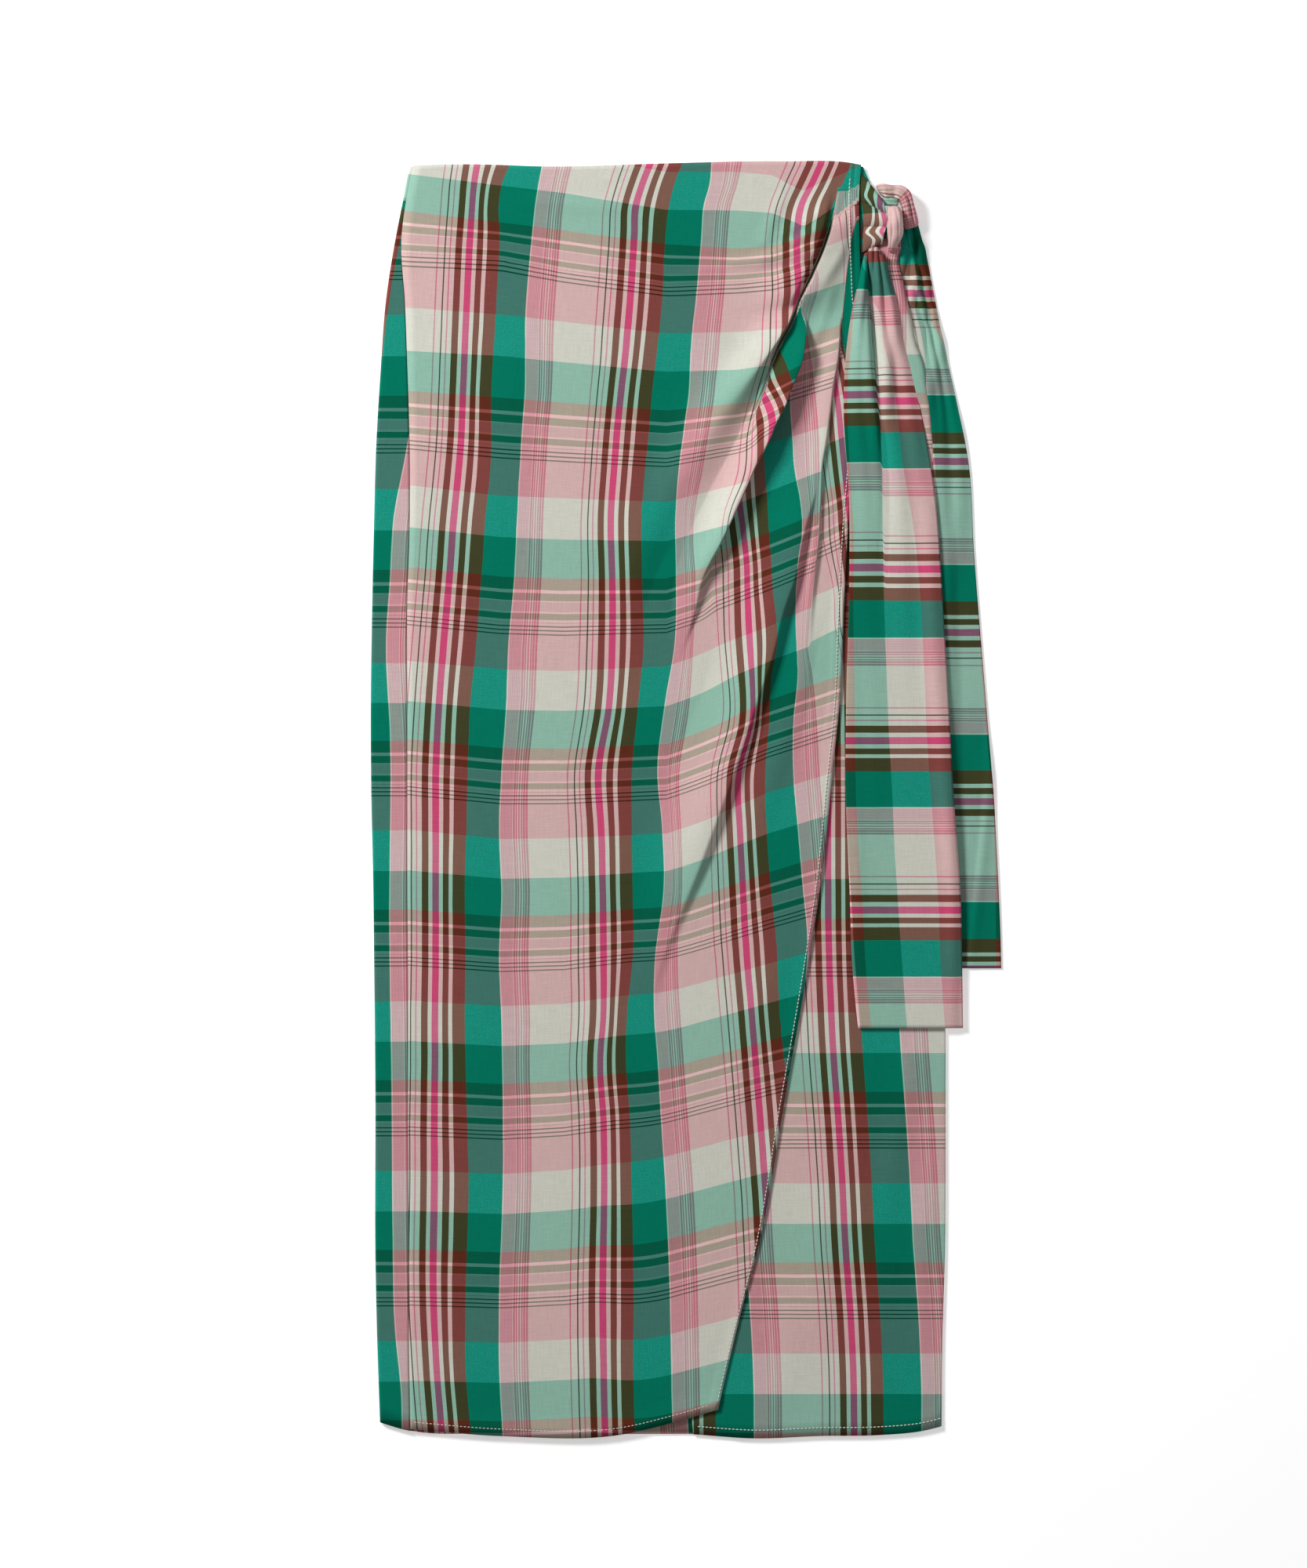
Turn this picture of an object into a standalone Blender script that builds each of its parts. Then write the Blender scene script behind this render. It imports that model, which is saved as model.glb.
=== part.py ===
"""Wrap skirt of checked cotton, laid flat with its ties knotted at one hip.

Metres. +X runs to the side of the knot, +Y up to the waist, +Z out of the cloth.
The back panel lies on Z = 0, and the origin is under the middle of the outline.
"""
import math

import bmesh
import bpy
import numpy as np

# Driving dimensions
LENGTH = 0.9028          # highest point of the waist edge to the lowest of the hem
WIDTH = 0.4458           # left fold to the corner of the back tail
WALL = 0.0010            # one layer of cloth with its turnings
GAP = 0.0003             # between pieces that touch
LEVEL = WALL + GAP       # from one layer of cloth to the next
OVER_LEVEL = 2 * LEVEL   # underside of the over front
TAIL_LEVEL = 3 * LEVEL   # underside of the front tail
SIDE_RETURN = 0.012      # strip of the under front that turns under the back
PANEL_ROWS = 38          # sections down the panels, shared where they meet at a seam
ROW_CROWDING = 0.85      # under 1, the sections lie closer together towards the waist
BOTTOM = -LENGTH / 2
SIDE = WIDTH / 2

# Upright edges of the panels, one row for each section from the hem to the waist
EDGE_COLUMNS = ("y", "left_fold", "side_seam", "main_fold", "second_fold",
                "wrap_edge", "right_fold")
EDGES = np.array((
    (-0.4410, -0.2163, -0.1946, -0.072, -0.042, 0.0225, 0.1808),
    (-0.3770, -0.2185, -0.1957, -0.072, -0.042, 0.0374, 0.1813),
    (-0.3220, -0.2196, -0.1957, -0.070, -0.041, 0.0516, 0.1830),
    (-0.2110, -0.2196, -0.1963, -0.064, -0.033, 0.0710, 0.1835),
    (-0.1220, -0.2204, -0.1963, -0.053, -0.021, 0.0865, 0.1835),
    (-0.0550, -0.2212, -0.1968, -0.040, 0.003, 0.0965, 0.1835),
    (0.0110, -0.2226, -0.1968, -0.025, 0.027, 0.1031, 0.1830),
    (0.0660, -SIDE, -0.1968, -0.011, 0.050, 0.1087, 0.1819),
    (0.1440, -0.2218, -0.1968, 0.009, 0.071, 0.1120, 0.1797),
    (0.1940, -0.2207, -0.1952, 0.030, 0.086, 0.1148, 0.1774),
    (0.2550, -0.2190, -0.1952, 0.056, 0.099, 0.1198, 0.1725),
    (0.3100, -0.2157, -0.1968, 0.077, 0.105, 0.1231, 0.1647),
    (0.3550, -0.2124, -0.1985, 0.089, 0.109, 0.1242, 0.1558),
    (0.3990, -0.2057, -0.2010, 0.104, 0.113, 0.1225, 0.1447),
    (0.4270, -0.2002, -0.1976, 0.109, 0.116, 0.1222, 0.1364),
    (0.4510, -0.1957, -0.1931, 0.111, 0.117, 0.1237, 0.1253),
))
NOMINAL_BOTTOM = EDGES[0, 0]
NOMINAL_TOP = EDGES[-1, 0]

# Free edge of the under front, hidden but for its corner at the hem
UNDER_EDGE = (
    # y, x
    (-0.441, 0.0050),
    (-0.200, -0.0140),
    (0.120, -0.0520),
    (0.451, -0.0980),
)

# Waist and hems: the height of each edge across the skirt
WAIST = (
    # x, y
    (-0.224, 0.4470),
    (-0.152, 0.4491),
    (-0.097, 0.4475),
    (-0.014, 0.4497),
    (0.069, 0.4512),
    (0.118, 0.4497),
    (0.130, 0.4470),
)
WAIST_DROP = 0.0008      # inner layers end this far below the waist edge
OVER_HEM = (
    # x, y
    (-0.195, -0.4447),
    (-0.130, -0.4497),
    (-0.042, -0.4480),
    (-0.012, -0.4408),
    (0.023, -0.4308),
)
UNDER_HEM = (
    # x, y
    (0.005, -0.4486),
    (0.047, BOTTOM),
    (0.097, -0.4497),
    (0.136, -0.4491),
    (0.169, -0.4458),
    (0.184, -0.4420),
)
BACK_HEM = (
    # x, y
    (-0.2165, -0.4400),
    (-0.2000, -0.4450),
    (-0.1300, -0.4480),
    (0.0000, -0.4484),
    (0.0970, -0.4480),
    (0.1500, -0.4465),
    (0.1840, -0.4410),
)

# Largest folds of the over front. Each crest runs down the cloth through its points.
# A fold is soft on its left and falls steeply on its right.
FOLDS = (
    {"name": "main", "height": 0.0085, "left": 0.020, "right": 0.0045,
     "rise": 0.20, "fade": 0.45,
     "crest": ((0.405, 0.102), (0.355, 0.089), (0.310, 0.077), (0.255, 0.056),
               (0.194, 0.030), (0.144, 0.009), (0.100, -0.002))},
    {"name": "upper", "height": 0.0060, "left": 0.014, "right": 0.0050,
     "rise": 0.25, "fade": 0.45,
     "crest": ((0.400, 0.100), (0.355, 0.082), (0.310, 0.059), (0.275, 0.048),
               (0.240, 0.037))},
    {"name": "second", "height": 0.0065, "left": 0.024, "right": 0.0080,
     "rise": 0.30, "fade": 0.35,
     "crest": ((0.240, 0.096), (0.194, 0.086), (0.144, 0.071), (0.066, 0.050),
               (0.011, 0.027), (-0.055, 0.003), (-0.122, -0.021), (-0.190, -0.031))},
)

# Columns of points across the panels
BACK_COLUMNS = 6         # over the flat part of the back
UNDER_COLUMNS = 8        # over the flat part of the under front
FOLD_STEPS = 6           # facets round a side fold
TURNED_SHARES = (0.5, 1.0)           # from a side fold to the end of what it turns over
PLAIN_COLUMNS = 7        # over the plain part of the over front
FOLD_OFFSETS = (-0.030, -0.022, -0.017, -0.011, -0.005, 0.0)     # from the main fold
MIDDLE_SHARES = (0.10, 0.20, 0.45, 0.70, 0.87, 1.0)  # from the main fold to the second
EDGE_SHARES = (0.07, 0.14, 0.32, 0.55, 0.78, 1.0)    # from the second fold to the edge

# Cloth of the over front gathers up towards the knot
KNOT_X = 0.118
KNOT_Y = 0.408
MOUND_HEIGHT = 0.0035
MOUND_REACH = 0.020

# Pleated base of the tie: its seam on the over front and its end in the knot
BASE_LOW = 0.3862        # height of the seam's lower end
BASE_HIGH = 0.4425
BASE_END = (
    # share of the width, x, y
    (0.00, 0.1379, 0.3928),
    (0.34, 0.1411, 0.4045),
    (0.68, 0.1413, 0.4140),
    (1.00, 0.1381, 0.4228),
)
BASE_COLUMNS = 8
BASE_RISE = 0.0055       # from the seam to the knot
BASE_PLEATS = 3
PLEAT_ROWS = 6           # facets up one pleat
PLEAT_HEIGHT = 0.0035
PLEAT_BLUNTNESS = 0.7    # under 1, the pleats are rounder on top than a sine
PLEAT_START = 0.4        # share of the width over which the pleats rise

# Ties below the knot: left and right edges, one row for each section
FRONT_TAIL = (
    # y, left, right
    (0.3835, 0.1248, 0.1486),
    (0.3600, 0.1192, 0.1519),
    (0.3330, 0.1142, 0.1564),
    (0.3060, 0.1125, 0.1625),
    (0.2740, 0.1114, 0.1669),
    (0.2170, 0.1150, 0.1752),
    (0.1520, 0.1153, 0.1802),
    (0.0660, 0.1131, 0.1852),
    (-0.0050, 0.1131, 0.1891),
    (-0.0570, 0.1153, 0.1930),
    (-0.1270, 0.1181, 0.1952),
    (-0.1614, 0.1215, 0.1957),
)
FRONT_TAIL_TOP = (
    # share of the width, height above the first section
    (0.00, 0.0002),
    (0.35, 0.0055),
    (0.55, 0.0076),
    (0.68, 0.0044),
    (0.80, 0.0013),
    (1.00, 0.0008),
)
BACK_TAIL = (
    # y, left, right
    (0.4020, 0.1532, 0.1640),
    (0.3810, 0.1532, 0.1697),
    (0.3440, 0.1530, 0.1774),
    (0.3070, 0.1528, 0.1852),
    (0.2330, 0.1516, 0.2002),
    (0.1770, 0.1508, 0.2035),
    (0.0660, 0.1503, 0.2124),
    (0.0110, 0.1503, 0.2168),
    (-0.0440, 0.1503, 0.2201),
    (-0.0990, 0.1503, 0.2224),
    (-0.1192, 0.1506, SIDE),
)
BACK_TAIL_TOP = (
    # share of the width, height above the first section
    (0.00, 0.0006),
    (1.00, 0.0046),
)
FRONT_TAIL_ROWS = 28
FRONT_TAIL_COLUMNS = 15
FRONT_GATHERS = {"centres": (0.14, 0.55, 0.86), "height": 0.0050, "reach": 0.130}
FRONT_LIFT = 0.0035      # upper end of the front tail, up into the knot
FRONT_LIFT_REACH = 0.030
BACK_TAIL_ROWS = 26
BACK_TAIL_COLUMNS = 14
BACK_GATHERS = {"centres": (0.50, 0.82), "height": 0.0040, "reach": 0.120}
GATHER_WIDTH = 0.10      # share of a tail's width
GATHER_FALL = 1.5        # exponent of the fall in a gather's height down the tail
TAIL_CROWDING = 1.5      # over 1, the sections lie closer together towards the knot
TOP_SHARPNESS = 6        # exponent that keeps a tail's shaped upper end near the knot
DROOP_WIDTH = 0.012      # over which a tail falls from the skirt to the surface
FRONT_DROOP_START = 0.003            # from the right fold
BACK_DROOP_START = 0.002
FRONT_DROOP_LEVEL = 0.0018           # underside of the front tail past the droop
COVER_START = 0.001      # from the front tail's edge to the back tail's first gathers
COVER_WIDTH = 0.006
STEP_X = 0.125           # the front tail steps off the over front here
STEP_WIDTH = 0.004

# Stretches of the knot: sections of a rounded roll along its path
WRAP = (
    # x, y, heading in degrees, half width, low, high
    (0.1467, 0.4190, -90, 0.0016, 0.0065, 0.0105),
    (0.1467, 0.4176, -90, 0.0042, 0.0040, 0.0150),
    (0.1468, 0.4130, -91, 0.0047, 0.0030, 0.0185),
    (0.1472, 0.4050, -92, 0.0047, 0.0029, 0.0205),
    (0.1469, 0.3976, -95, 0.0043, 0.0029, 0.0190),
    (0.1459, 0.3915, -98, 0.0034, 0.0032, 0.0150),
    (0.1450, 0.3876, -95, 0.0024, 0.0042, 0.0110),
    (0.1449, 0.3862, -92, 0.0010, 0.0060, 0.0088),
)
LOOP = (
    # x, y, heading in degrees, half width, low, high
    (0.1357, 0.4302, 28, 0.0030, 0.0030, 0.0062),
    (0.1366, 0.4304, 26, 0.0046, 0.0008, 0.0090),
    (0.1400, 0.4300, 8, 0.0051, 0.0000, 0.0120),
    (0.1435, 0.4295, -2, 0.0050, 0.0000, 0.0118),
    (0.1470, 0.4296, -5, 0.0049, 0.0000, 0.0112),
    (0.1505, 0.4287, -22, 0.0054, 0.0000, 0.0128),
    (0.1543, 0.4258, -52, 0.0053, 0.0000, 0.0130),
    (0.1566, 0.4192, -74, 0.0046, 0.0000, 0.0125),
    (0.1581, 0.4115, -74, 0.0050, 0.0000, 0.0110),
    (0.1593, 0.4070, -72, 0.0052, 0.0008, 0.0085),
    (0.1596, 0.4060, -72, 0.0036, 0.0025, 0.0065),
)
INNER = (
    # x, y, heading in degrees, half width, low, high
    (0.1402, 0.4219, 0, 0.0008, 0.0050, 0.0070),
    (0.1410, 0.4220, 0, 0.0020, 0.0034, 0.0086),
    (0.1450, 0.4217, 0, 0.0021, 0.0034, 0.0094),
    (0.1484, 0.4212, 0, 0.0016, 0.0040, 0.0080),
    (0.1491, 0.4210, 0, 0.0006, 0.0052, 0.0070),
)
ROLL_SIDES = 12
ROLL_SQUARENESS = 2.6    # exponent of the roll's section, where 2 is an ellipse

# Main colour of each stretch of the cloth
COLOURS = {
    "back_panel": (0.10, 0.36, 0.28),
    "under_front": (0.55, 0.42, 0.38),
    "over_front": (0.50, 0.40, 0.36),
    "tie_base": (0.20, 0.13, 0.07),
    "tail_front": (0.42, 0.48, 0.40),
    "tail_back": (0.25, 0.50, 0.40),
    "knot_wrap": (0.65, 0.45, 0.42),
    "knot_loop": (0.62, 0.42, 0.40),
    "knot_inner": (0.26, 0.52, 0.41),
}
ROUGHNESS = 0.85


def smooth(at, known, values):
    """Read a curve at some places: a cubic through the values, sloped as its neighbours."""
    known = np.asarray(known, float)
    values = np.asarray(values, float)
    slopes = np.gradient(values, known)
    i = np.clip(np.searchsorted(known, at) - 1, 0, len(known) - 2)
    span = known[i + 1] - known[i]
    t = np.clip((at - known[i]) / span, 0.0, 1.0)
    start = values[i] * (1 + 2 * t) * (1 - t) ** 2 + slopes[i] * span * t * (1 - t) ** 2
    end = values[i + 1] * (3 - 2 * t) * t ** 2 - slopes[i + 1] * span * t ** 2 * (1 - t)
    return start + end


def edge(name, y):
    """Where an upright edge of a panel lies at height y."""
    return smooth(y, EDGES[:, 0], EDGES[:, EDGE_COLUMNS.index(name)])


def along(rows, at, column=1):
    """Read a column of a short table at some values of its first column."""
    table = np.array(sorted(rows))
    return smooth(at, table[:, 0], table[:, column])


def ease(t):
    """Go from 0 to 1 with no kink at either end."""
    t = np.clip(t, 0.0, 1.0)
    return t * t * (3 - 2 * t)


def between(low, high, y):
    """Spread nominal heights between a hem and the waist."""
    share = (y - NOMINAL_BOTTOM) / (NOMINAL_TOP - NOMINAL_BOTTOM)
    return low + (high - low) * share


def fold_lift(fold, x, y):
    """One fold: a soft left slope and a steep right slope, faded at both ends."""
    crest = np.array(sorted(fold["crest"]))
    line = smooth(y, crest[:, 0], crest[:, 1])
    down = (crest[-1, 0] - y) / (crest[-1, 0] - crest[0, 0])
    fade = ease(down / fold["rise"]) * ease((1 - down) / fold["fade"])
    away = x - line
    left = np.exp(-(np.minimum(away, 0) / fold["left"]) ** 2)
    right = 1 - ease(np.maximum(away, 0) / fold["right"])
    return fold["height"] * fade * left * right


def mound(x, y):
    """Cloth lifted round the knot, falling off like a bell."""
    return MOUND_HEIGHT * np.exp(-((x - KNOT_X) ** 2 + (y - KNOT_Y) ** 2) / MOUND_REACH ** 2)


def over_height(x, y):
    """Underside of the over front. The deepest fold wins where two lie side by side."""
    lifts = np.array([fold_lift(fold, x, y) for fold in FOLDS])
    return OVER_LEVEL + lifts.max(axis=0) + mound(x, y)


def clear_scene():
    """Remove every object and collection that the file holds."""
    for old in list(bpy.data.objects):
        bpy.data.objects.remove(old, do_unlink=True)
    for old in list(bpy.data.collections):
        bpy.data.collections.remove(old)


def cloth(name):
    """Plain cotton in the main colour of a stretch."""
    material = bpy.data.materials.new(name + "_cotton")
    material.use_nodes = True
    shader = material.node_tree.nodes["Principled BSDF"]
    shader.inputs["Base Color"].default_value = (*COLOURS[name], 1.0)
    shader.inputs["Roughness"].default_value = ROUGHNESS
    shader.inputs["Metallic"].default_value = 0.0
    return material


def add_object(name, mesh):
    """Put a mesh in the skirt's collection, shaded smooth."""
    mesh.materials.append(cloth(name))
    mesh.shade_smooth()
    piece = bpy.data.objects.new(name, mesh)
    bpy.data.collections["wrap_skirt"].objects.link(piece)
    return piece


def wall(name, points, side):
    """Give a grid of points, rows by columns, the thickness of the cloth.

    side is 1 where the wall grows along the face normals, and -1 against them.
    """
    rows, columns = points.shape[:2]
    grid = bmesh.new()
    bmesh.ops.create_grid(grid, x_segments=columns - 1, y_segments=rows - 1, size=0.5)
    mesh = bpy.data.meshes.new(name)
    grid.to_mesh(mesh)
    grid.free()
    mesh.vertices.foreach_set("co", points.reshape(-1).astype(np.float32))
    mesh.update()
    piece = add_object(name, mesh)
    thickness = piece.modifiers.new("cloth wall", "SOLIDIFY")
    thickness.thickness = WALL
    thickness.offset = side
    return piece


def roll(name, sections):
    """Loft a rounded roll through its sections, and close both ends."""
    angles = np.arange(ROLL_SIDES) * 2 * math.pi / ROLL_SIDES
    power = 2 / ROLL_SQUARENESS
    out = np.sign(np.cos(angles)) * np.abs(np.cos(angles)) ** power
    up = np.sign(np.sin(angles)) * np.abs(np.sin(angles)) ** power
    body = bmesh.new()
    rings = []
    for x, y, heading, half_width, low, high in sections:
        turn = math.radians(heading - 90)
        ring = []
        for sideways, upward in zip(out, up):
            reach = half_width * sideways
            height = (low + high) / 2 + (high - low) / 2 * upward
            ring.append(body.verts.new((x + reach * math.cos(turn),
                                        y + reach * math.sin(turn), height)))
        rings.append(ring)
    for near, far in zip(rings, rings[1:]):
        for i in range(ROLL_SIDES):
            j = (i + 1) % ROLL_SIDES
            body.faces.new((near[i], far[i], far[j], near[j]))
    body.faces.new(rings[0])
    body.faces.new(rings[-1][::-1])
    bmesh.ops.recalc_face_normals(body, faces=body.faces)
    mesh = bpy.data.meshes.new(name)
    body.to_mesh(mesh)
    body.free()
    return add_object(name, mesh)


def section_heights(count):
    """Nominal heights from hem to waist, closer together towards the waist."""
    share = np.linspace(0.0, 1.0, count)[:, None] ** ROW_CROWDING
    return NOMINAL_BOTTOM + (NOMINAL_TOP - NOMINAL_BOTTOM) * share


def make_back():
    """Back panel: flat on the surface, round the left fold and over to the side seam."""
    y = section_heights(PANEL_ROWS)
    outer = (OVER_LEVEL + WALL) / 2
    right = edge("right_fold", y) - SIDE_RETURN - 2 * GAP
    fold = edge("left_fold", y) + outer
    seam = edge("side_seam", y) - GAP
    flat = right + (fold - right) * np.linspace(0.0, 1.0, BACK_COLUMNS)
    turn = np.linspace(0.0, math.pi, FOLD_STEPS + 1)[1:]
    round_x = fold - outer * np.sin(turn)
    round_z = outer - outer * np.cos(turn)
    flap = fold + (seam - fold) * np.array(TURNED_SHARES)
    x = np.concatenate((flat, round_x, flap), axis=1)
    z = np.concatenate((np.zeros(flat.shape), round_z + 0 * y,
                        np.full(flap.shape, 2 * outer)), axis=1)
    low = along(BACK_HEM, x)
    high = along(WAIST, x) - WAIST_DROP
    points = np.stack((x, between(low, high, y), z), axis=2)
    return wall("back_panel", points, -1)


def make_under_front():
    """Under front: from its free edge, over the back and round the right fold."""
    y = section_heights(PANEL_ROWS)
    outer = (LEVEL + WALL) / 2
    left = along(UNDER_EDGE, y)
    fold = edge("right_fold", y) - outer
    end = edge("right_fold", y) - SIDE_RETURN
    flat = left + (fold - left) * np.linspace(0.0, 1.0, UNDER_COLUMNS)
    turn = np.linspace(0.0, math.pi, FOLD_STEPS + 1)[1:]
    round_x = fold + outer * np.sin(turn)
    round_z = outer + outer * np.cos(turn)
    under = fold + (end - fold) * np.array(TURNED_SHARES)
    x = np.concatenate((flat, round_x, under), axis=1)
    z = np.concatenate((np.full(flat.shape, 2 * outer), round_z + 0 * y,
                        np.zeros(under.shape)), axis=1)
    low = along(UNDER_HEM, x)
    high = along(WAIST, x) - WAIST_DROP
    points = np.stack((x, between(low, high, y), z), axis=2)
    return wall("under_front", points, -1)


def over_columns(y):
    """Columns of the over front, which follow its two great folds down the cloth."""
    seam = edge("side_seam", y) + GAP / 2
    main = edge("main_fold", y)
    second = edge("second_fold", y)
    free = edge("wrap_edge", y)
    before = main + np.array(FOLD_OFFSETS)
    steps = np.arange(PLAIN_COLUMNS) / PLAIN_COLUMNS
    plain = seam + (before[:, :1] - seam) * steps
    middle = main + (second - main) * np.array(MIDDLE_SHARES)
    after = second + (free - second) * np.array(EDGE_SHARES)
    return np.concatenate((plain, before, middle, after), axis=1)


def make_over_front():
    """Over front: from the side seam to the slanting free edge, with its folds."""
    y = section_heights(PANEL_ROWS)
    x = over_columns(y)
    height = between(along(OVER_HEM, x), along(WAIST, x), y)
    points = np.stack((x, height, over_height(x, height)), axis=2)
    return wall("over_front", points, 1)


def make_tie_base():
    """Base of the tie: three pleats that climb from the seam into the knot."""
    across = np.linspace(0.0, 1.0, BASE_COLUMNS)[None, :]
    up = np.linspace(0.0, 1.0, PLEAT_ROWS * BASE_PLEATS + 1)[:, None]
    seam_y = BASE_LOW + (BASE_HIGH - BASE_LOW) * up
    sections = section_heights(PANEL_ROWS)[:, 0]
    seam_x = np.interp(seam_y, sections, edge("wrap_edge", sections)) + 2 * GAP
    end_x = along(BASE_END, up)
    end_y = along(BASE_END, up, 2)
    x = seam_x + (end_x - seam_x) * across
    y = seam_y + (end_y - seam_y) * across
    ridge = np.abs(np.sin(math.pi * BASE_PLEATS * up)) ** PLEAT_BLUNTNESS
    pleats = PLEAT_HEIGHT * ridge * ease(across / PLEAT_START)
    z = OVER_LEVEL + mound(x, y) + BASE_RISE * ease(across) + pleats
    return wall("tie_base", np.stack((x, y, z), axis=2), 1)


def tail_pleats(gathers, across, drop):
    """Gathers left by the knot: bell-shaped ridges that die away down the tail."""
    ridges = sum(np.exp(-((across - centre) / GATHER_WIDTH) ** 2)
                 for centre in gathers["centres"])
    fall = np.exp(-(drop / gathers["reach"]) ** GATHER_FALL)
    return gathers["height"] * ridges * fall


def tail_grid(rows, top, heights, columns):
    """Points of a tail between its edges, with a shaped upper end."""
    across = np.linspace(0.0, 1.0, columns)[None, :]
    left = along(rows, heights)
    right = along(rows, heights, 2)
    x = left + (right - left) * across
    top_lift = along(top, across)
    share = (heights - heights.min()) / (heights.max() - heights.min())
    y = heights + top_lift * share ** TOP_SHARPNESS
    return across, x, y


def tail_heights(rows, count):
    """Heights down a tail, closer together near the knot."""
    table = np.array(rows)
    share = np.linspace(0.0, 1.0, count) ** TAIL_CROWDING
    return (table[0, 0] + (table[-1, 0] - table[0, 0]) * share)[::-1, None]


def make_front_tail():
    """Front tail: lies over the wrap edge, and droops past the right side."""
    y = tail_heights(FRONT_TAIL, FRONT_TAIL_ROWS)
    across, x, height = tail_grid(FRONT_TAIL, FRONT_TAIL_TOP, y, FRONT_TAIL_COLUMNS)
    drop = y.max() - y
    lift = FRONT_LIFT * np.exp(-drop / FRONT_LIFT_REACH)
    pleats = tail_pleats(FRONT_GATHERS, across, drop)
    past = (x - edge("right_fold", y) - FRONT_DROOP_START) / DROOP_WIDTH
    level = TAIL_LEVEL - (TAIL_LEVEL - FRONT_DROOP_LEVEL) * ease(past)
    on_front = LEVEL * ease((STEP_X - x) / STEP_WIDTH)
    z = np.maximum(level, over_height(x, height) + on_front)
    return wall("tail_front", np.stack((x, height, z + lift + pleats), axis=2), 1)


def make_back_tail():
    """Back tail: under the front tail on the skirt, then down on the surface."""
    y = tail_heights(BACK_TAIL, BACK_TAIL_ROWS)
    across, x, height = tail_grid(BACK_TAIL, BACK_TAIL_TOP, y, BACK_TAIL_COLUMNS)
    drop = y.max() - y
    uncovered = ease((x - along(FRONT_TAIL, y, 2) - COVER_START) / COVER_WIDTH)
    pleats = tail_pleats(BACK_GATHERS, across, drop) * uncovered
    past = (x - edge("right_fold", y) - BACK_DROOP_START) / DROOP_WIDTH
    level = OVER_LEVEL * (1 - ease(past))
    return wall("tail_back", np.stack((x, height, level + pleats), axis=2), 1)


def main():
    clear_scene()
    collection = bpy.data.collections.new("wrap_skirt")
    bpy.context.scene.collection.children.link(collection)
    make_back()
    make_under_front()
    make_over_front()
    make_tie_base()
    make_front_tail()
    make_back_tail()
    roll("knot_wrap", WRAP)
    roll("knot_loop", LOOP)
    roll("knot_inner", INNER)


main()
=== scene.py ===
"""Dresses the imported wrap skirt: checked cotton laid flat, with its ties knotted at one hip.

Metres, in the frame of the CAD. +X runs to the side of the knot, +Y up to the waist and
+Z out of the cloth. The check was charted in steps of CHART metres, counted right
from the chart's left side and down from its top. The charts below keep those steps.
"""
import math

import bpy
import numpy as np
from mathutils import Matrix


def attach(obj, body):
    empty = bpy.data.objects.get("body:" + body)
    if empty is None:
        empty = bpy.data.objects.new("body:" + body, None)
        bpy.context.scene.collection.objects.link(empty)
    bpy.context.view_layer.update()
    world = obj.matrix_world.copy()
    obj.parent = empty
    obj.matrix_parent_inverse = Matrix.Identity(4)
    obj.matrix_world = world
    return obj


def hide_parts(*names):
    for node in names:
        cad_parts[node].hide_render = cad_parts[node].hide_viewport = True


bl_info = {
    "name": "Wrap skirt in checked cotton",
    "version": (1, 0, 0),
    "blender": (4, 5, 0),
    "location": "3D View > Sidebar > Wrap skirt",
    "description": "Builds the panels, ties, knot and stitches of a checked wrap skirt",
    "category": "Object",
}

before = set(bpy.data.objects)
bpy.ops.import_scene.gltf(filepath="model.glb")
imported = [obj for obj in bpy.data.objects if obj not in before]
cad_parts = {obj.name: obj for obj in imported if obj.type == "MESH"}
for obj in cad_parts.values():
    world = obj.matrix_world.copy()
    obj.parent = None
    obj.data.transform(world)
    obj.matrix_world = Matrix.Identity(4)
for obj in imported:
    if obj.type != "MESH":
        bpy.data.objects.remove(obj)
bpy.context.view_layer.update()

# The chart: one step, and the step that lies at the frame's origin
CHART = 0.0005545
CHART_X = 875
CHART_Y = 1020
REPEAT = 214.0           # steps from one green stripe of the warp to the next

# Levels of the cloth, as in the solids
WALL = 0.0010
BAND_WALL = 0.0006       # of the knot's bands
GAP = 0.0003
LEVEL = WALL + GAP
OVER_LEVEL = 2 * LEVEL
TAIL_LEVEL = 3 * LEVEL
SIDE_RETURN = 0.012
SIDE = 0.2229

# Upright edges of the panels, from the hem to the waist
EDGE_COLUMNS = ("y", "left_fold", "side_seam", "wrap_edge", "right_fold")
EDGES = np.array((
    (-0.4410, -0.2163, -0.1946, 0.0225, 0.1808),
    (-0.3770, -0.2185, -0.1957, 0.0374, 0.1813),
    (-0.3220, -0.2196, -0.1957, 0.0516, 0.1830),
    (-0.2110, -0.2196, -0.1963, 0.0710, 0.1835),
    (-0.1220, -0.2204, -0.1963, 0.0865, 0.1835),
    (-0.0550, -0.2212, -0.1968, 0.0965, 0.1835),
    (0.0110, -0.2226, -0.1968, 0.1031, 0.1830),
    (0.0660, -SIDE, -0.1968, 0.1087, 0.1819),
    (0.1440, -0.2218, -0.1968, 0.1120, 0.1797),
    (0.1940, -0.2207, -0.1952, 0.1148, 0.1774),
    (0.2550, -0.2190, -0.1952, 0.1198, 0.1725),
    (0.3100, -0.2157, -0.1968, 0.1231, 0.1647),
    (0.3550, -0.2124, -0.1985, 0.1242, 0.1558),
    (0.3990, -0.2057, -0.2010, 0.1225, 0.1447),
    (0.4270, -0.2002, -0.1976, 0.1222, 0.1364),
    (0.4510, -0.1957, -0.1931, 0.1237, 0.1253),
))
NOMINAL_BOTTOM = EDGES[0, 0]
NOMINAL_TOP = EDGES[-1, 0]
UNDER_EDGE = ((-0.441, 0.0050), (-0.200, -0.0140), (0.120, -0.0520), (0.451, -0.0980))

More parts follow.
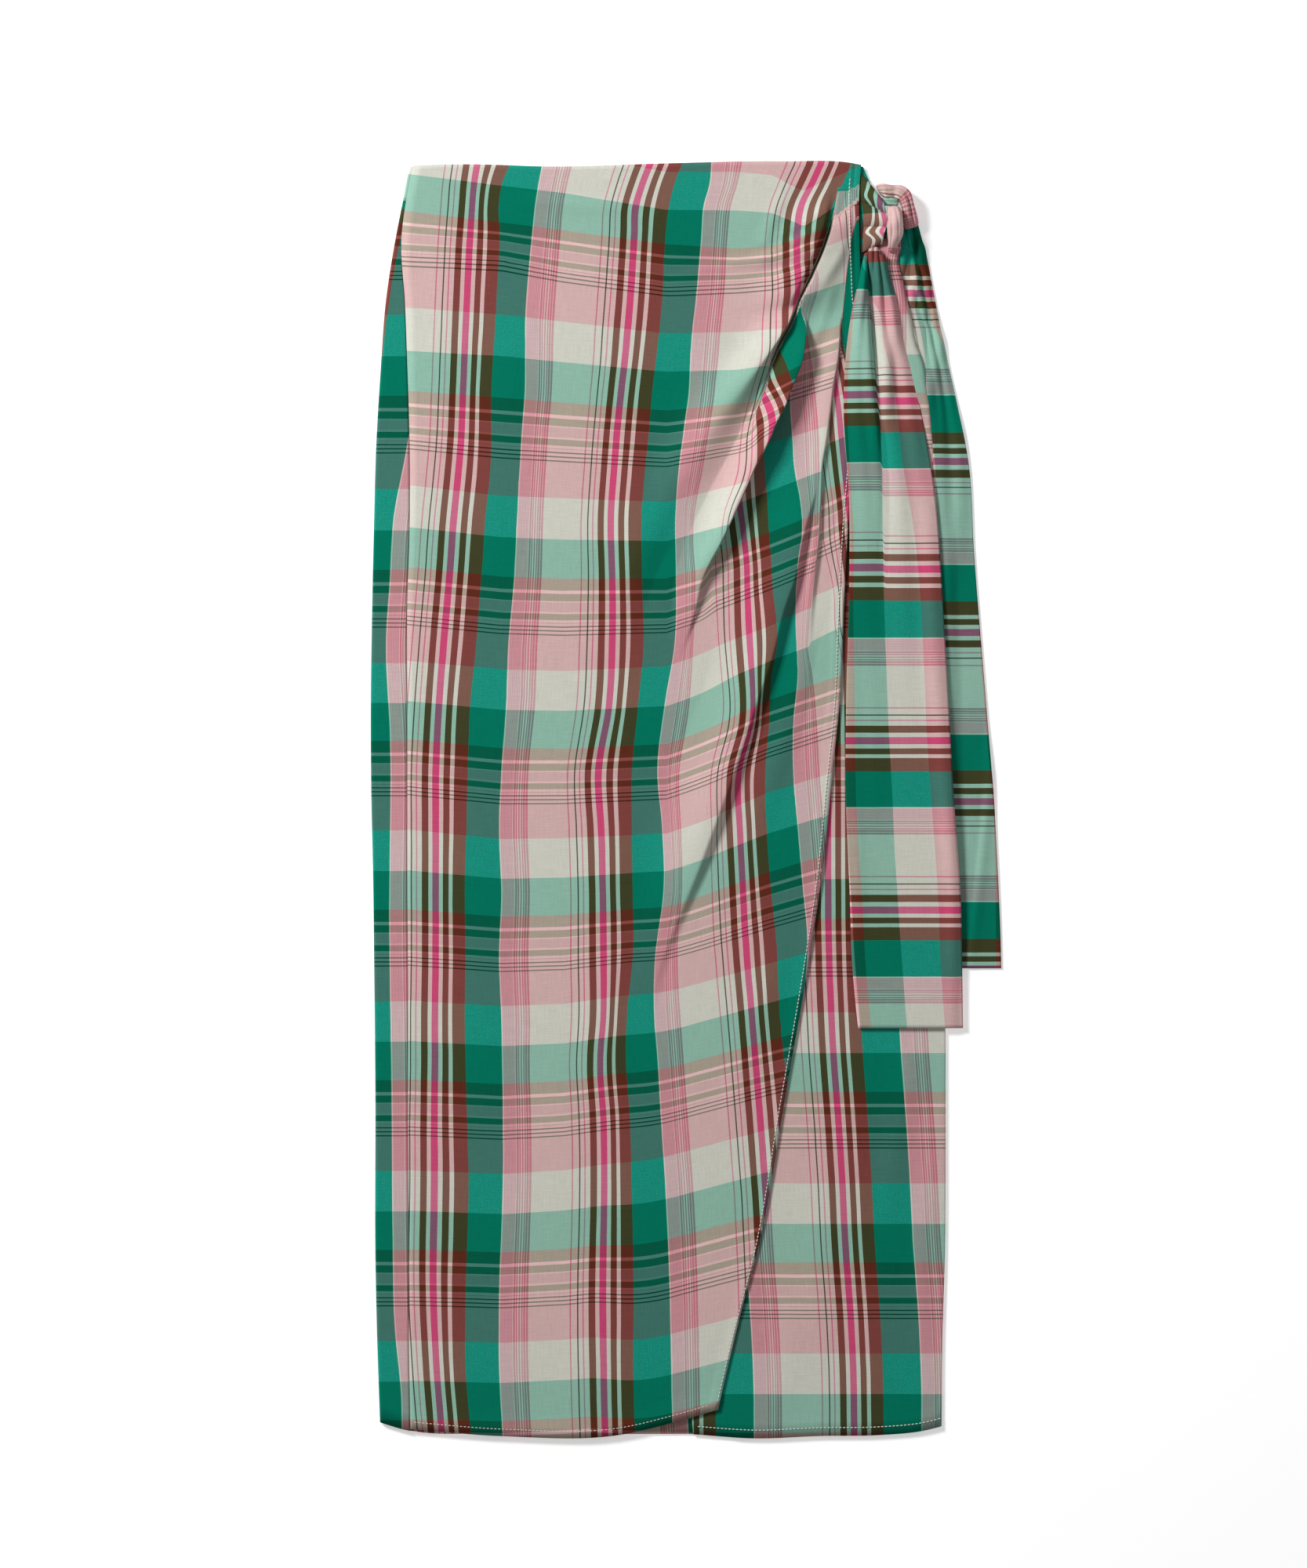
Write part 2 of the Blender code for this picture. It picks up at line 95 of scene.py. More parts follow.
# Rows and columns of points
BACK_ROWS = 150
UNDER_ROWS = 190
OVER_ROWS = 284
TAIL_ROWS = 260
BACK_COLUMNS = 40        # over the flat part
UNDER_COLUMNS = 80       # over the flat part
TURN_COLUMNS = 13        # round a side fold, and over what it turns

# Waist and hems: x, y
WAIST = ((-0.224, 0.4470), (-0.152, 0.4491), (-0.097, 0.4475), (-0.014, 0.4497),
         (0.069, 0.4512), (0.118, 0.4497), (0.130, 0.4470))
WAIST_DROP = 0.0008
# Turned hem: its extra layer, the stitches' dip, their reach and their share of its depth
HEM_LAYER = 0.0006
HEM_DIP = 0.0004
HEM_SOFTNESS = 0.0012
HEM_SEWN = 0.62
OVER_HEM = ((-0.195, -0.4447), (-0.130, -0.4497), (-0.042, -0.4480),
            (-0.012, -0.4408), (0.023, -0.4308))
UNDER_HEM = ((0.005, -0.4486), (0.047, -0.4514), (0.097, -0.4497), (0.136, -0.4491),
             (0.169, -0.4458), (0.184, -0.4420))
BACK_HEM = ((-0.2165, -0.4400), (-0.2000, -0.4450), (-0.1300, -0.4480), (0.0, -0.4484),
            (0.0970, -0.4480), (0.1500, -0.4465), (0.1840, -0.4410))

# Fold lines of the over front in chart steps, which its columns of points follow
FOLD_LINES = (
    # y, upper, main, second, strip
    (208, 1070, 1075, 1084, 1091),
    (246, 1067, 1071, 1081, 1088),
    (300, 1056, 1060, 1076, 1085),
    (354, 1034, 1038, 1070, 1079),
    (385, 1019, 1020, 1065, 1076),
    (397, 1015, 1021.5, 1063.5, 1074),
    (412, 1009, 1027, 1062, 1071),
    (440, 994, 1023, 1060, 1069),
    (466, 983, 1018, 1057, 1066),
    (493, 976, 1007, 1053, 1061),
    (518, 966, 998, 1050, 1058),
    (541, 956, 986, 1048, 1055),
    (564, 946, 976.5, 1045, 1052),
    (594, 932, 961, 1043, 1047),
    (619, 917, 950, 1040, 1046),
    (651, 902, 935.6, 1030, 1044.5),
    (694, 882, 916.5, 1019, 1042),
    (732, 864, 897, 1012, 1038),
    (780, 850, 886, 996, 1034),
    (840, 838, 868, 981, 1030),
    (900, 828, 860, 961, 1024),
    (1000, 815, 845, 928, 1000),
    (1100, 790, 825, 892, 970),
    (1250, 760, 790, 835, 930),
    (1400, 740, 775, 815, 915),
    (1600, 720, 750, 800, 885),
    (1840, 700, 745, 800, 860),
)

LIP = (
    # y, and the x at which the upper fold's cloth starts to fall towards its line
    (208, 1070), (246, 1067), (300, 1056), (354, 1034), (385, 1018), (412, 1006),
    (440, 987), (466, 967), (493, 945), (518, 926), (541, 910), (564, 896), (594, 880),
    (619, 866), (651, 850), (694, 832), (732, 818), (780, 806), (840, 796), (900, 790),
)

# Folds of the over front: metres of height, and of reach to the left and the right
FOLDS = (
    # line, height, left, right, and the chart's y at its start, full, fading and end
    ("upper", 0.0086, 0.018, 0.0006, (378, 425, 480, 800)),
    ("main", 0.0112, 0.013, 0.0022, (398, 455, 640, 850)),
    ("second", 0.0064, 0.024, 0.0075, (575, 690, 980, 1330)),
    ("strip", 0.0030, 0.008, 0.0030, (385, 450, 700, 850)),
)
# Cloth at the top of the upper fold: what lies over, and what dives below it
OVERLAP_HEIGHT = 0.0072
OVERLAP_REACH = 0.019
DIVE_HEIGHT = 0.0054
DIVE_REACH = 0.018
DIVE_LENGTH = 0.0062
# How far the crests lean to the right for each metre of height above the plain cloth
LEAN = 0.22
LEAN_START = 0.0015

# Columns of points from the side seam to each fold line in turn, and to the free edge
OVER_COLUMNS = (80, 22, 28, 18, 16)

# Warp stripes of the over front left of the folds: where each one runs
LEFT_WARP_AT = (0.82, 1.0, 1.2245, 1.82, 2.0, 2.2245, 2.6785, 2.82, 3.0)
LEFT_WARP = (
    # y, then the chart's x of each stripe in LEFT_WARP_AT
    (208, 608, 652, 691, 829, 871, 906, 1014, 1047, 1086),
    (236, 604, 640, 686, 818, 860, 904, 1001, 1034, 1074),
    (262, 602, 636, 682, 810, 854, 897, 991, 1021, 1062),
    (300, 599, 638, 678, 808, 849, 894, 985, 1015, 1053),
    (380, 595, 634, 671, 803, 845, 887, 984, 1015, 1054),
    (425, 593, 632, 669, 799, 841, 882, 980, 1011, 1050),
    (450, 592, 630, 669, 797, 838, 880, 978, 1009, 1048),
    (500, 590, 627, 669, 791, 832, 878, 966, 996, 1035),
    (550, 588, 627, 665, 786, 828, 871, 954, 984, 1023),
    (600, 584, 626, 662, 782, 823, 864, 948, 976, 1014),
    (660, 578, 620, 659, 778, 818, 861, 926, 948, 986),
    (740, 572, 614, 655, 780, 819, 862, 924, 951, 986),
    (820, 565, 608, 648, 780, 821, 860, 929, 952, 990),
    (900, 559, 600, 645, 776, 814, 847, 936, 958, 980),
    (985, 555, 597, 639, 762, 806, 838, 917, 939, 976),
    (1060, 555, 595, 636, 766, 806, 845, 917, 942, 978),
    (1140, 555, 593, 639, 768, 807, 850, 920, 947, 984),
    (1220, 555, 594, 636, 769, 808, 838, 926, 951, 994),
    (1300, 554, 593, 639, 769, 800, 836, 932, 958, 996),
    (1350, 554, 594, 640, 765, 799, 841, 937, 963, 1002),
    (1430, 553, 596, 641, 769, 806, 845, 942, 969, 1008),
    (1500, 553, 598, 641, 770, 809, 850, 947, 974, 1012),
    (1660, 552, 594, 636, 768, 811, 849, 947, 977, 1015),
    (1740, 556, 594, 636, 769, 808, 852, 947, 977, 1015),
    (1840, 564, 602, 641, 771, 811, 856, 950, 980, 1018),
)
RIDGE_WARP = (
    # y, and the chart's x of the magenta stripe on the ridge between the two upper folds
    (380, 925), (398, 932), (421, 941), (440, 951), (458, 958.6), (472, 962.6),
    (487, 966), (501, 971), (513, 975.5), (527, 979), (540, 980), (560, 979),
    (594, 976.6), (619, 972), (660, 962),
)
RIGHT_WARP_AT = (2.82, 3.0, 3.2245, 3.398, 3.6365)
RIGHT_WARP = (
    (250, 985, 1000, 1015, 1030, 1066),
    (300, 985, 1000, 1015, 1034, 1069.6),
    (331, 990, 1003, 1020, 1039, 1075),
    (356, 992, 1006, 1022, 1042, 1076),
    (380, 990, 1005, 1021, 1039.5, 1077),
    (398, 985, 1003, 1021, 1034.5, 1077),
    (421, 975, 1000, 1024, 1030, 1072),
    (461, 960, 990, 1017, 1035, 1076),
    (500, 955, 975, 1007.5, 1040, 1082),
    (530, 950, 973, 1007.5, 1043, 1086),
    (560, 946, 974, 1010, 1044.5, 1088),
    (594, 942, 975, 1012, 1044.7, 1088),
    (636, 942, 978.5, 1019, 1043.5, 1087),
    (675, 947, 980, 1020.8, 1042.3, 1086),
    (722, 952, 983, 1014.5, 1040, 1085),
    (751, 952.5, 984, 1014.5, 1036, 1083),
    (799, 953.5, 989, 1014.5, 1032, 1078),
    (828, 955, 989, 1016, 1030.5, 1074),
    (860, 957, 984, 1017, 1036, 1077),
    (920, 957, 981, 1011, 1042, 1086),
    (988, 941, 976, 1011, 1046, 1092),
    (1060, 943, 978, 1017, 1052, 1098),
    (1120, 946, 982, 1022, 1057, 1104),
    (1200, 950, 990, 1029, 1063, 1110),
    (1295, 958, 995, 1025, 1060, 1108),
    (1421, 968, 1008, 1050, 1087, 1138),
    (1529, 976, 1016, 1060, 1097, 1148),
    (1840, 985, 1024, 1070, 1107, 1158),
)
STRIP_WARP = (
    # y, the chart's x of the thin pink stripe at 3.6365, and steps to a repeat
    (400, 1006, 180), (470, 1026, 185), (517, 1034, 185), (558, 1038, 185),
    (599, 1043, 180), (637, 1048.5, 172), (694, 1051, 190), (751, 1062.8, 150),
    (809, 1066, 150), (860, 1076, 180),
)

# Weft bands: the chart's y at which a repeat starts, under the chart's x given above it
LEFT_WEFT_AT = (520, 640, 720, 850, 940, 985, 1010, 1024, 1052)
LEFT_WEFT = (
    # repeat, then y
    (-1, -45, -30, -15, 9, 20, 28, 35, 40, 40),
    (0, 170, 187, 196, 220, 220, 224, 238, 244, 232),
    (0.2357, 222, 237, 246.5, 268, 268.5, 272, 283, 291, 273),
    (0.4645, 270, 284.5, 294.5, 312, 317.5, 314.5, 307, 301, 292.5),
    (0.75, 329, 334, 350, 368, 364, 360, 353, 348, 340),
    (1, 393, 402, 411, 426, 424, 421.5, 421, 420, 418),
    (1.2357, 447.5, 454, 462, 474, 472, 466, 462, 460, 456),
    (2, 619, 633, 636, 641, 618, 604, 600, 596, 590),
    (3, 843, 854, 856, 850, 820, 800, 792, 788, 780),
    (4, 1058, 1070, 1069, 1063, 1034, 1010, 1002, 998, 990),
    (5, 1276, 1283, 1280, 1262, 1245, 1228, 1220, 1216, 1208),
    (6, 1492, 1497, 1492, 1473, 1457, 1440, 1432, 1428, 1420),
    (7, 1709, 1712, 1708, 1697, 1684, 1670, 1662, 1658, 1650),
    (8, 1925, 1927, 1924, 1915, 1903, 1890, 1882, 1878, 1870),
)
RIDGE_WEFT_AT = (960, 1005)
RIDGE_WEFT = ((0.5, 280, 220), (1.0, 390, 330), (1.2357, 440, 392), (1.4645, 497, 474),
              (2.0, 608, 575), (2.5, 700, 680))
RIGHT_WEFT_AT = (920, 980, 1044)
RIGHT_WEFT = (
    (0.70, 320, 290, 262),
    (0.80, 332, 306, 282),
    (1.0, 366, 348, 320),
    (1.2357, 408, 393, 371),
    (1.4645, 456, 446, 424),
    (2.0, 585, 566, 547),
    (2.2357, 650, 627, 602),
    (2.4645, 702, 680, 654),
    (3.0, 822, 799, 771),
    (3.2357, 868, 843, 820),
    (4.0, 1036, 1011, 991),
    (5.0, 1246, 1229, 1211),
    (6.0, 1456, 1440, 1424),
    (7.0, 1684, 1668, 1652),
    (8.0, 1902, 1888, 1872),
)
STRIP_WEFT_SHIFT = ((400, 32), (560, 32), (617, 26), (700, 15), (800, 10), (860, 0))
FACING_EDGE = ((246, 1100), (285, 1090), (304, 1085), (331, 1081), (356, 1078), (375, 1076),
               (412, 1073), (440, 1074), (480, 1090))
# Stripes that the ridge's and the strip's charts follow, and single cells: warp, weft
RIDGE_STRIPE = 2.82
RIDGE_REPEAT = 219
STRIP_STRIPE = 3.6365
GREEN_WARP = 4.1
GREEN_WEFT = 0.36
# Brown warp on green weft, the darkest cell, painted along the upper fold's line as its shade
FOLD_SHADE_CELL = (0.76, GREEN_WEFT)
FOLDS_PART = 385
SPANS = {
    # chart's y at which each starts, is full, fades and ends
    "ridge": (390, 395, 560, 630), "strip": (400, 410, 800, 855),
    "facing": (280, 284, 455, 475), "swell": (236, 296, 372, 412),
    "slot": (262, 307, 490, 550),
}

# Other pieces of the check: the chart's y, then the chart's x of one stripe
BACK_WARP = ((208, 582), (250, 572), (300, 560), (350, 550), (404, 542), (500, 530),
             (580, 517), (660, 502), (740, 497), (820, 492), (940, 497), (1180, 496),
             (1420, 499), (1580, 500), (1700, 503), (1780, 511), (1840, 512))
BACK_WEFT = ((185, 0), (402, 1), (624, 2), (846, 3), (1059, 4), (1277, 5), (1493, 6),
             (1710, 7), (1927, 8))
UNDER_WARP = ((208, 1094), (320, 1080), (400, 1070), (520, 1078), (900, 1092), (1260, 1096),
              (1340, 1100), (1420, 1106), (1500, 1111), (1580, 1115), (1660, 1121),
              (1740, 1125), (1840, 1126))
UNDER_WEFT = ((185, 1), (401, 2), (846, 4), (1068, 5), (1291, 6), (1509, 7), (1726, 8),
              (1943, 9))
FRONT_TAIL_WARP = (
    (319, 0.91), (336, 1.0), (378, 1.2245), (417, 1.398), (470, 1.6365), (496.5, 1.76),
    (511.5, 1.82), (525.5, 1.88), (536, 1.9286), (552, 2.0), (597.5, 2.2245), (634, 2.398),
    (684, 2.6365), (711, 2.76), (725.5, 2.82), (739.5, 2.88), (751, 2.9286), (766.5, 3.0),
    (813, 3.2245), (850, 3.398), (903, 3.6365), (929.5, 3.76), (944, 3.82), (957.5, 3.88),
    (967.5, 3.9286), (984, 4.0), (1029, 4.2245), (1065, 4.398), (1118, 4.6365),
    (1145, 4.76), (1160, 4.82), (1173, 4.88), (1183, 4.9286), (1199, 5.0), (1245, 5.2245),
    (1280, 5.398), (1312, 5.54),
)
FRONT_TAIL_WEFT_AT = (0.4645, 0.2357, 0.0)
FRONT_TAIL_WEFT = (
    # y, and the chart's x at which umber, green and cream end, from the left
    (319, 1090, 1098, 1099), (336, 1092, 1101, 1102.5), (355, 1094, 1104, 1106),
    (378, 1093, 1108, 1111), (400, 1089.5, 1112, 1121), (438, 1087, 1115.5, 1126),
    (480, 1082, 1118, 1136), (595, 1083.5, 1124.5, 1151), (690, 1089, 1126, 1167),
    (765, 1088, 1127.5, 1174),
    (865, 1089.5, 1131, 1179), (940, 1090, 1134, 1182), (1000, 1091, 1137.5, 1186),
    (1080, 1094.5, 1141, 1192), (1160, 1100, 1146, 1197), (1220, 1103, 1150, 1199),
    (1312, 1111, 1157, 1205),
)
FRONT_TAIL_FOLD = ((330, 1107), (370, 1107), (396, 1112), (438, 1115), (480, 1118),
                   (550, 1122.5), (595, 1124.5), (700, 1128), (900, 1134))
BACK_TAIL_WARP = (
    (286, 0.2245), (338, 0.0), (352, -0.0714), (366, -0.1374), (380, -0.1986),
    (394, -0.2585), (418, -0.3635), (470, -0.602), (505, -0.7755), (552, -1.0),
    (566, -1.0714), (580, -1.1374), (594, -1.1986), (610, -1.2585), (630, -1.3635),
    (686, -1.602), (721, -1.7755), (767, -2.0), (784, -2.0714), (798, -2.1374),
    (812, -2.1986), (826, -2.2585), (849, -2.3635), (902.5, -2.602), (937.5, -2.7755),
    (982.5, -3.0), (999, -3.0714), (1014, -3.1374), (1027.5, -3.1986), (1041, -3.2585),
    (1062.5, -3.3635), (1116, -3.602), (1151, -3.7755), (1197.5, -4.0), (1214.5, -4.0714),
    (1227.5, -4.1374), (1240, -4.195),
)
BACK_TAIL_WEFT_AT = (0.2357, 0.4645)
BACK_TAIL_WEFT = (
    # y, and the chart's x at which cream and green end, from the left
    (260, 1158, 1163), (300, 1160, 1164), (345, 1167, 1170), (370, 1169, 1181),
    (388, 1166, 1182), (425, 1174, 1195), (450, 1178, 1208), (500, 1182, 1226),
    (600, 1192, 1242), (700, 1195, 1246), (784, 1199, 1248), (860, 1203, 1252),
    (937, 1208, 1258.7), (1014, 1213, 1265), (1062, 1216, 1267.5), (1130, 1219, 1269.5),
    (1240, 1222, 1270.5),
)
BASE_WARP_AT = (0.913, 0.850)
BASE_WARP = (
    # y, and the chart's x of the two light stripes, which zigzag over the pleats
    (216, 1107, 1116), (241, 1107, 1117), (252, 1105, 1117), (262, 1111.5, 1118),
    (276, 1114, 1122), (290, 1111, 1124), (298, 1106, 1120), (307, 1114, 1126),
    (316, 1112, 1123), (326, 1108, 1118),
)
STRIP_EDGE = ((306, 1149), (318, 1148), (328, 1145), (340, 1146), (356, 1150), (376, 1154),
              (392, 1158), (412, 1162), (438, 1167), (467, 1177.5), (495, 1181),
              (512, 1184), (550, 1187.5), (580, 1191), (620, 1195), (680, 1197.5),
              (760, 1200))
STRIP_PINK = ((306, 1150), (320, 1150), (340, 1148), (360, 1152), (380, 1155), (400, 1156),
              (440, 1156), (500, 1160), (700, 1182), (760, 1188))

# Creases in chart steps: middle, direction in degrees, half length, half width, height in mm
OVER_CREASES = (
    # x, y, direction, half length, half width, height
    (730, 246, -4, 60, 7, -0.8),
    (735, 262, -2, 70, 10, 0.6),
    (930, 322, 6, 60, 5, -1.3),
    (955, 334, 10, 85, 6, 1.4),
    (985, 346, 14, 60, 5, -1.2),
    (890, 342, 4, 50, 6, -0.9),
    (1020, 296, 34, 24, 5, -2.0),
    (1008, 310, 28, 30, 6, 1.7),
    (1034, 282, 40, 20, 5, 1.2),
    (1010, 262, 60, 45, 8, -0.9),
    (985, 290, 70, 50, 9, 0.8),
    (900, 560, 62, 120, 26, -1.4),
    (800, 690, 84, 120, 22, 1.2),
    (845, 760, 80, 130, 18, -1.0),
    (640, 560, 88, 160, 30, 0.5),
    (700, 880, 86, 200, 34, -0.7),
    (600, 1200, 89, 260, 36, 0.6),
    (770, 1230, 84, 200, 30, 1.0),
    (700, 1420, 87, 220, 36, -0.7),
    (905, 1160, 66, 90, 16, -1.3),
    (1000, 930, 76, 130, 16, 1.2),
    (1040, 900, 80, 90, 10, -0.9),
    (960, 1320, 72, 120, 20, 0.9),
    (880, 1480, 78, 150, 26, -0.8),
    (760, 1700, 86, 130, 30, 0.6),
    (570, 420, 87, 120, 18, 0.5),
    (860, 930, 72, 110, 20, -1.0),
    (1008, 560, 60, 60, 10, -1.0),
    (1030, 470, 66, 40, 7, -0.9),
    (1052, 400, 68, 40, 8, 0.9),
    (1062, 340, 66, 34, 8, 1.1),
    (1075, 262, 70, 26, 6, -0.8),
)
UNDER_CREASES = (
    (1150, 1420, 84, 150, 16, 0.7),
    (1180, 1600, 88, 160, 12, 0.5),
    (1060, 1560, 80, 180, 26, 0.6),
    (1000, 1740, 84, 80, 20, 0.5),
)
FRONT_TAIL_CREASES = (
    (1101, 440, 96, 90, 9, 2.4),
    (1117, 465, 95, 125, 3.2, -11.0),
    (1134, 450, 82, 105, 10, 2.6),
    (1126, 640, 91, 110, 8, -1.2),
    (1110, 352, 100, 26, 4, -1.6),
    (1124, 352, 98, 30, 9, 1.6),
    (1150, 700, 90, 160, 16, 0.6),
    (1108, 900, 90, 180, 14, 0.6),
    (1198, 860, 93, 240, 12, 2.2),
    (1214, 1120, 94, 120, 12, 1.8),
    (1090, 1000, 90, 240, 10, 0.8),
)
BACK_TAIL_CREASES = (
    (1155, 320, 78, 46, 4.5, 1.6),
    (1163, 325, 76, 50, 3.0, -1.2),
    (1173, 335, 76, 60, 5.0, 1.8),
    (1183, 400, 78, 80, 6, -1.2),
    (1200, 440, 78, 90, 9, 1.6),
    (1222, 620, 84, 120, 12, 1.2),
    (1216, 880, 86, 110, 7, -1.6),
    (1240, 1120, 82, 120, 6, -1.6),
    (1256, 1050, 84, 160, 10, 1.6),
)

# Ties below the knot: y, left, right
FRONT_TAIL = (
    (0.3835, 0.1253, 0.1397), (0.3700, 0.1228, 0.1431), (0.3560, 0.1198, 0.1469),
    (0.3330, 0.1153, 0.1525), (0.3060, 0.1123, 0.1597), (0.2740, 0.1114, 0.1658),
    (0.2170, 0.1150, 0.1752), (0.1520, 0.1153, 0.1802), (0.0660, 0.1131, 0.1852),
    (-0.0050, 0.1131, 0.1891), (-0.0570, 0.1153, 0.1930), (-0.1270, 0.1181, 0.1952),
    (-0.1614, 0.1215, 0.1957),
)
FRONT_TAIL_TOP = ((0.00, 0.0002), (0.35, 0.0055), (0.55, 0.0076), (0.68, 0.0044),
                  (0.80, 0.0013), (1.00, 0.0008))
BACK_TAIL = (
    (0.4020, 0.1502, 0.1640), (0.3810, 0.1502, 0.1697), (0.3680, 0.1515, 0.1726),
    (0.3440, 0.1580, 0.1774), (0.3070, 0.1655, 0.1852), (0.2840, 0.1680, 0.1905),
    (0.2330, 0.1640, 0.2002), (0.1770, 0.1560, 0.2035), (0.0660, 0.1503, 0.2124),
    (0.0110, 0.1503, 0.2168), (-0.0440, 0.1503, 0.2201), (-0.0990, 0.1503, 0.2224),
    (-0.1192, 0.1506, SIDE),
)
BACK_TAIL_TOP = ((0.00, 0.0040), (1.00, 0.0052))
DROOP_WIDTH = 0.012
# Gathers below the knot: middles as shares of the width, height, reach down the tail
FRONT_GATHERS = ((0.18, 0.37, 0.59, 0.86), 0.0046, 0.130)
BACK_GATHERS = ((0.50, 0.82), 0.0026, 0.120)
GATHER_WIDTH = 0.10
FRONT_LIFT = 0.0035
FRONT_LIFT_REACH = 0.030

# Pleated base of the tie: share of the width, x, y of its end in the knot
BASE_LOW = 0.3862
BASE_HIGH = 0.4425
BASE_END = ((0.00, 0.1379, 0.3928), (0.34, 0.1411, 0.4045), (0.68, 0.1413, 0.4140),
            (1.00, 0.1381, 0.4228))
BASE_RISE = 0.0055
PLEAT_HEIGHT = 0.0035
BASE_PLEATS = 3

# Cloth of the over front gathers up towards the knot
KNOT_X = 0.118
KNOT_Y = 0.408
MOUND_HEIGHT = 0.0035
MOUND_REACH = 0.020

# Stretches of the knot: x, y, heading in degrees, half width, low, high
WRAP = (
    (0.1467, 0.4190, -90, 0.0016, 0.0065, 0.0105),
    (0.1467, 0.4176, -90, 0.0042, 0.0040, 0.0150),
    (0.1471, 0.4130, -91, 0.0056, 0.0030, 0.0185),
    (0.1476, 0.4050, -92, 0.0059, 0.0029, 0.0205),
    (0.1472, 0.3976, -95, 0.0054, 0.0029, 0.0190),
    (0.1459, 0.3915, -98, 0.0036, 0.0032, 0.0150),
    (0.1450, 0.3876, -95, 0.0026, 0.0042, 0.0110),
    (0.1449, 0.3862, -92, 0.0010, 0.0060, 0.0088),
)
LOOP = (
    (0.1357, 0.4302, 28, 0.0030, 0.0030, 0.0062),
    (0.1366, 0.4304, 26, 0.0046, 0.0008, 0.0090),
    (0.1400, 0.4300, 8, 0.0053, 0.0000, 0.0120),
    (0.1435, 0.4295, -2, 0.0051, 0.0000, 0.0118),
    (0.1470, 0.4296, -5, 0.0051, 0.0000, 0.0112),
    (0.1505, 0.4287, -22, 0.0056, 0.0000, 0.0128),
    (0.1543, 0.4258, -52, 0.0055, 0.0000, 0.0130),
    (0.1566, 0.4192, -74, 0.0049, 0.0000, 0.0125),
    (0.1581, 0.4115, -74, 0.0053, 0.0000, 0.0110),
    (0.1592, 0.4056, -72, 0.0054, 0.0008, 0.0085),
    (0.1596, 0.4038, -72, 0.0036, 0.0025, 0.0065),
)
INNER = (
    (0.1380, 0.4222, 0, 0.0008, 0.0050, 0.0070),
    (0.1392, 0.4223, 0, 0.0028, 0.0034, 0.0090),
    (0.1440, 0.4223, 0, 0.0031, 0.0034, 0.0100),
    (0.1488, 0.4218, 0, 0.0028, 0.0040, 0.0090),
    (0.1500, 0.4216, 0, 0.0008, 0.0052, 0.0070),
)
KNOT_BANDS = (
    # node, flat size, sections, pleats, their depth and twist, warp and weft repeats
    ("knot_wrap", (0.035, 0.034), WRAP, 5, 0.11, 1.0, (0.60, 0.34), (0.99, 0.84)),
    ("knot_loop", (0.038, 0.040), LOOP, 6, 0.22, 2.0, (0.60, 0.235), (0.90, 0.50)),
    ("knot_inner", (0.020, 0.014), INNER, 4, 0.20, 0.6, (0.50, 0.44), (0.30, 0.40)),
)
ROLL_SQUARENESS = 2.6

# Stage: what the camera stands over, the floor, the sky and the lamps
CAMERA_OVER = (-0.0230, 0.0111)
FLOOR_REACH = 3.0
FLOOR_DROP = 0.0004
PAPER_GLOW = 0.38
SKY_LIGHT = 0.22
LIGHTS = (
    # name, place, size, watts
    ("key_light", (-2.2, 1.9, 2.0), 0.9, 122.0),
    ("fill_light", (1.5, 0.4, 2.6), 2.4, 6.0),
)

# Colours of the cloth where a warp yarn crosses a weft yarn, 8 bits a channel
WEFT_YARNS = ("cream", "green", "umber", "pink")
CELLS = {
    # warp yarn: on cream, green, umber and pink weft
    "cream": ((212, 212, 200), (147, 190, 172), (176, 164, 148), (215, 180, 177)),
    "green": ((18, 148, 128), (1, 120, 96), (3, 94, 71), (68, 121, 109)),
    "rose": ((211, 181, 182), (143, 154, 147), (174, 128, 127), (207, 146, 154)),
    "fine": ((203, 160, 165), (118, 130, 126), (158, 106, 108), (204, 124, 138)),
    "pink_line": ((205, 150, 162), (135, 140, 138), (172, 112, 118), (202, 116, 136)),
    "black_line": ((105, 98, 92), (62, 80, 70), (80, 66, 58), (100, 75, 73)),
    "brown": ((130, 94, 81), (66, 67, 40), (97, 45, 31), (131, 69, 64)),
    "magenta": ((206, 108, 140), (133, 88, 110), (178, 62, 102), (208, 76, 120)),
}
THREAD = (226, 230, 220)
# Cloth: how uneven its light is, how far its stripes wander, and repeats or their parts
SLUB = 0.26
HEATHER = 0.24
GLINT = 0.14
WOBBLE = 0.0035
THREADS = 330
PALE_LINES = 0.0105
GREEN_END = 0.2245       # of the green warp stripe
CREAM_END = 0.2357       # of the cream weft band
WARP_STRIPES = (
    (0.0, "green"), (0.2245, "cream"), (0.2310, "rose"),
    *((0.3020 + 0.0150 * i + start, yarn) for i in range(6)
      for start, yarn in ((0.0, "cream"), (0.0048, "fine"))),
    (0.3930, "cream"),
    (0.6310, "pink_line"), (0.6400, "cream"), (0.6745, "black_line"), (0.6825, "cream"),
    (0.7065, "pink_line"), (0.7145, "cream"), (0.7415, "brown"), (0.7795, "cream"),
    (0.8030, "magenta"), (0.8400, "cream"), (0.8635, "brown"), (0.9020, "cream"),
    (0.9255, "brown"),
)
WEFT_BANDS = (
    # start, yarn, and how light it is against the rest of its yarn
    (0.0, "cream", 1.0), (0.2357, "green", 1.0), (0.4645, "umber", 1.0),
    (0.5350, "pink", 1.22), (0.5530, "umber", 1.0), (0.5965, "pink", 1.16),
    (0.6050, "pink", 0.96), (0.6590, "pink", 1.16), (0.6680, "umber", 1.0),
    (0.7070, "pink", 1.14), (0.7200, "pink", 0.80), (0.7245, "pink", 1.08),
    (0.7420, "umber", 0.60), (0.7480, "pink", 1.08), (0.7655, "umber", 0.60),
    (0.7715, "pink", 1.05), (0.7880, "umber", 0.60), (0.7940, "pink", 1.0),
)


# ---- reading charts ----

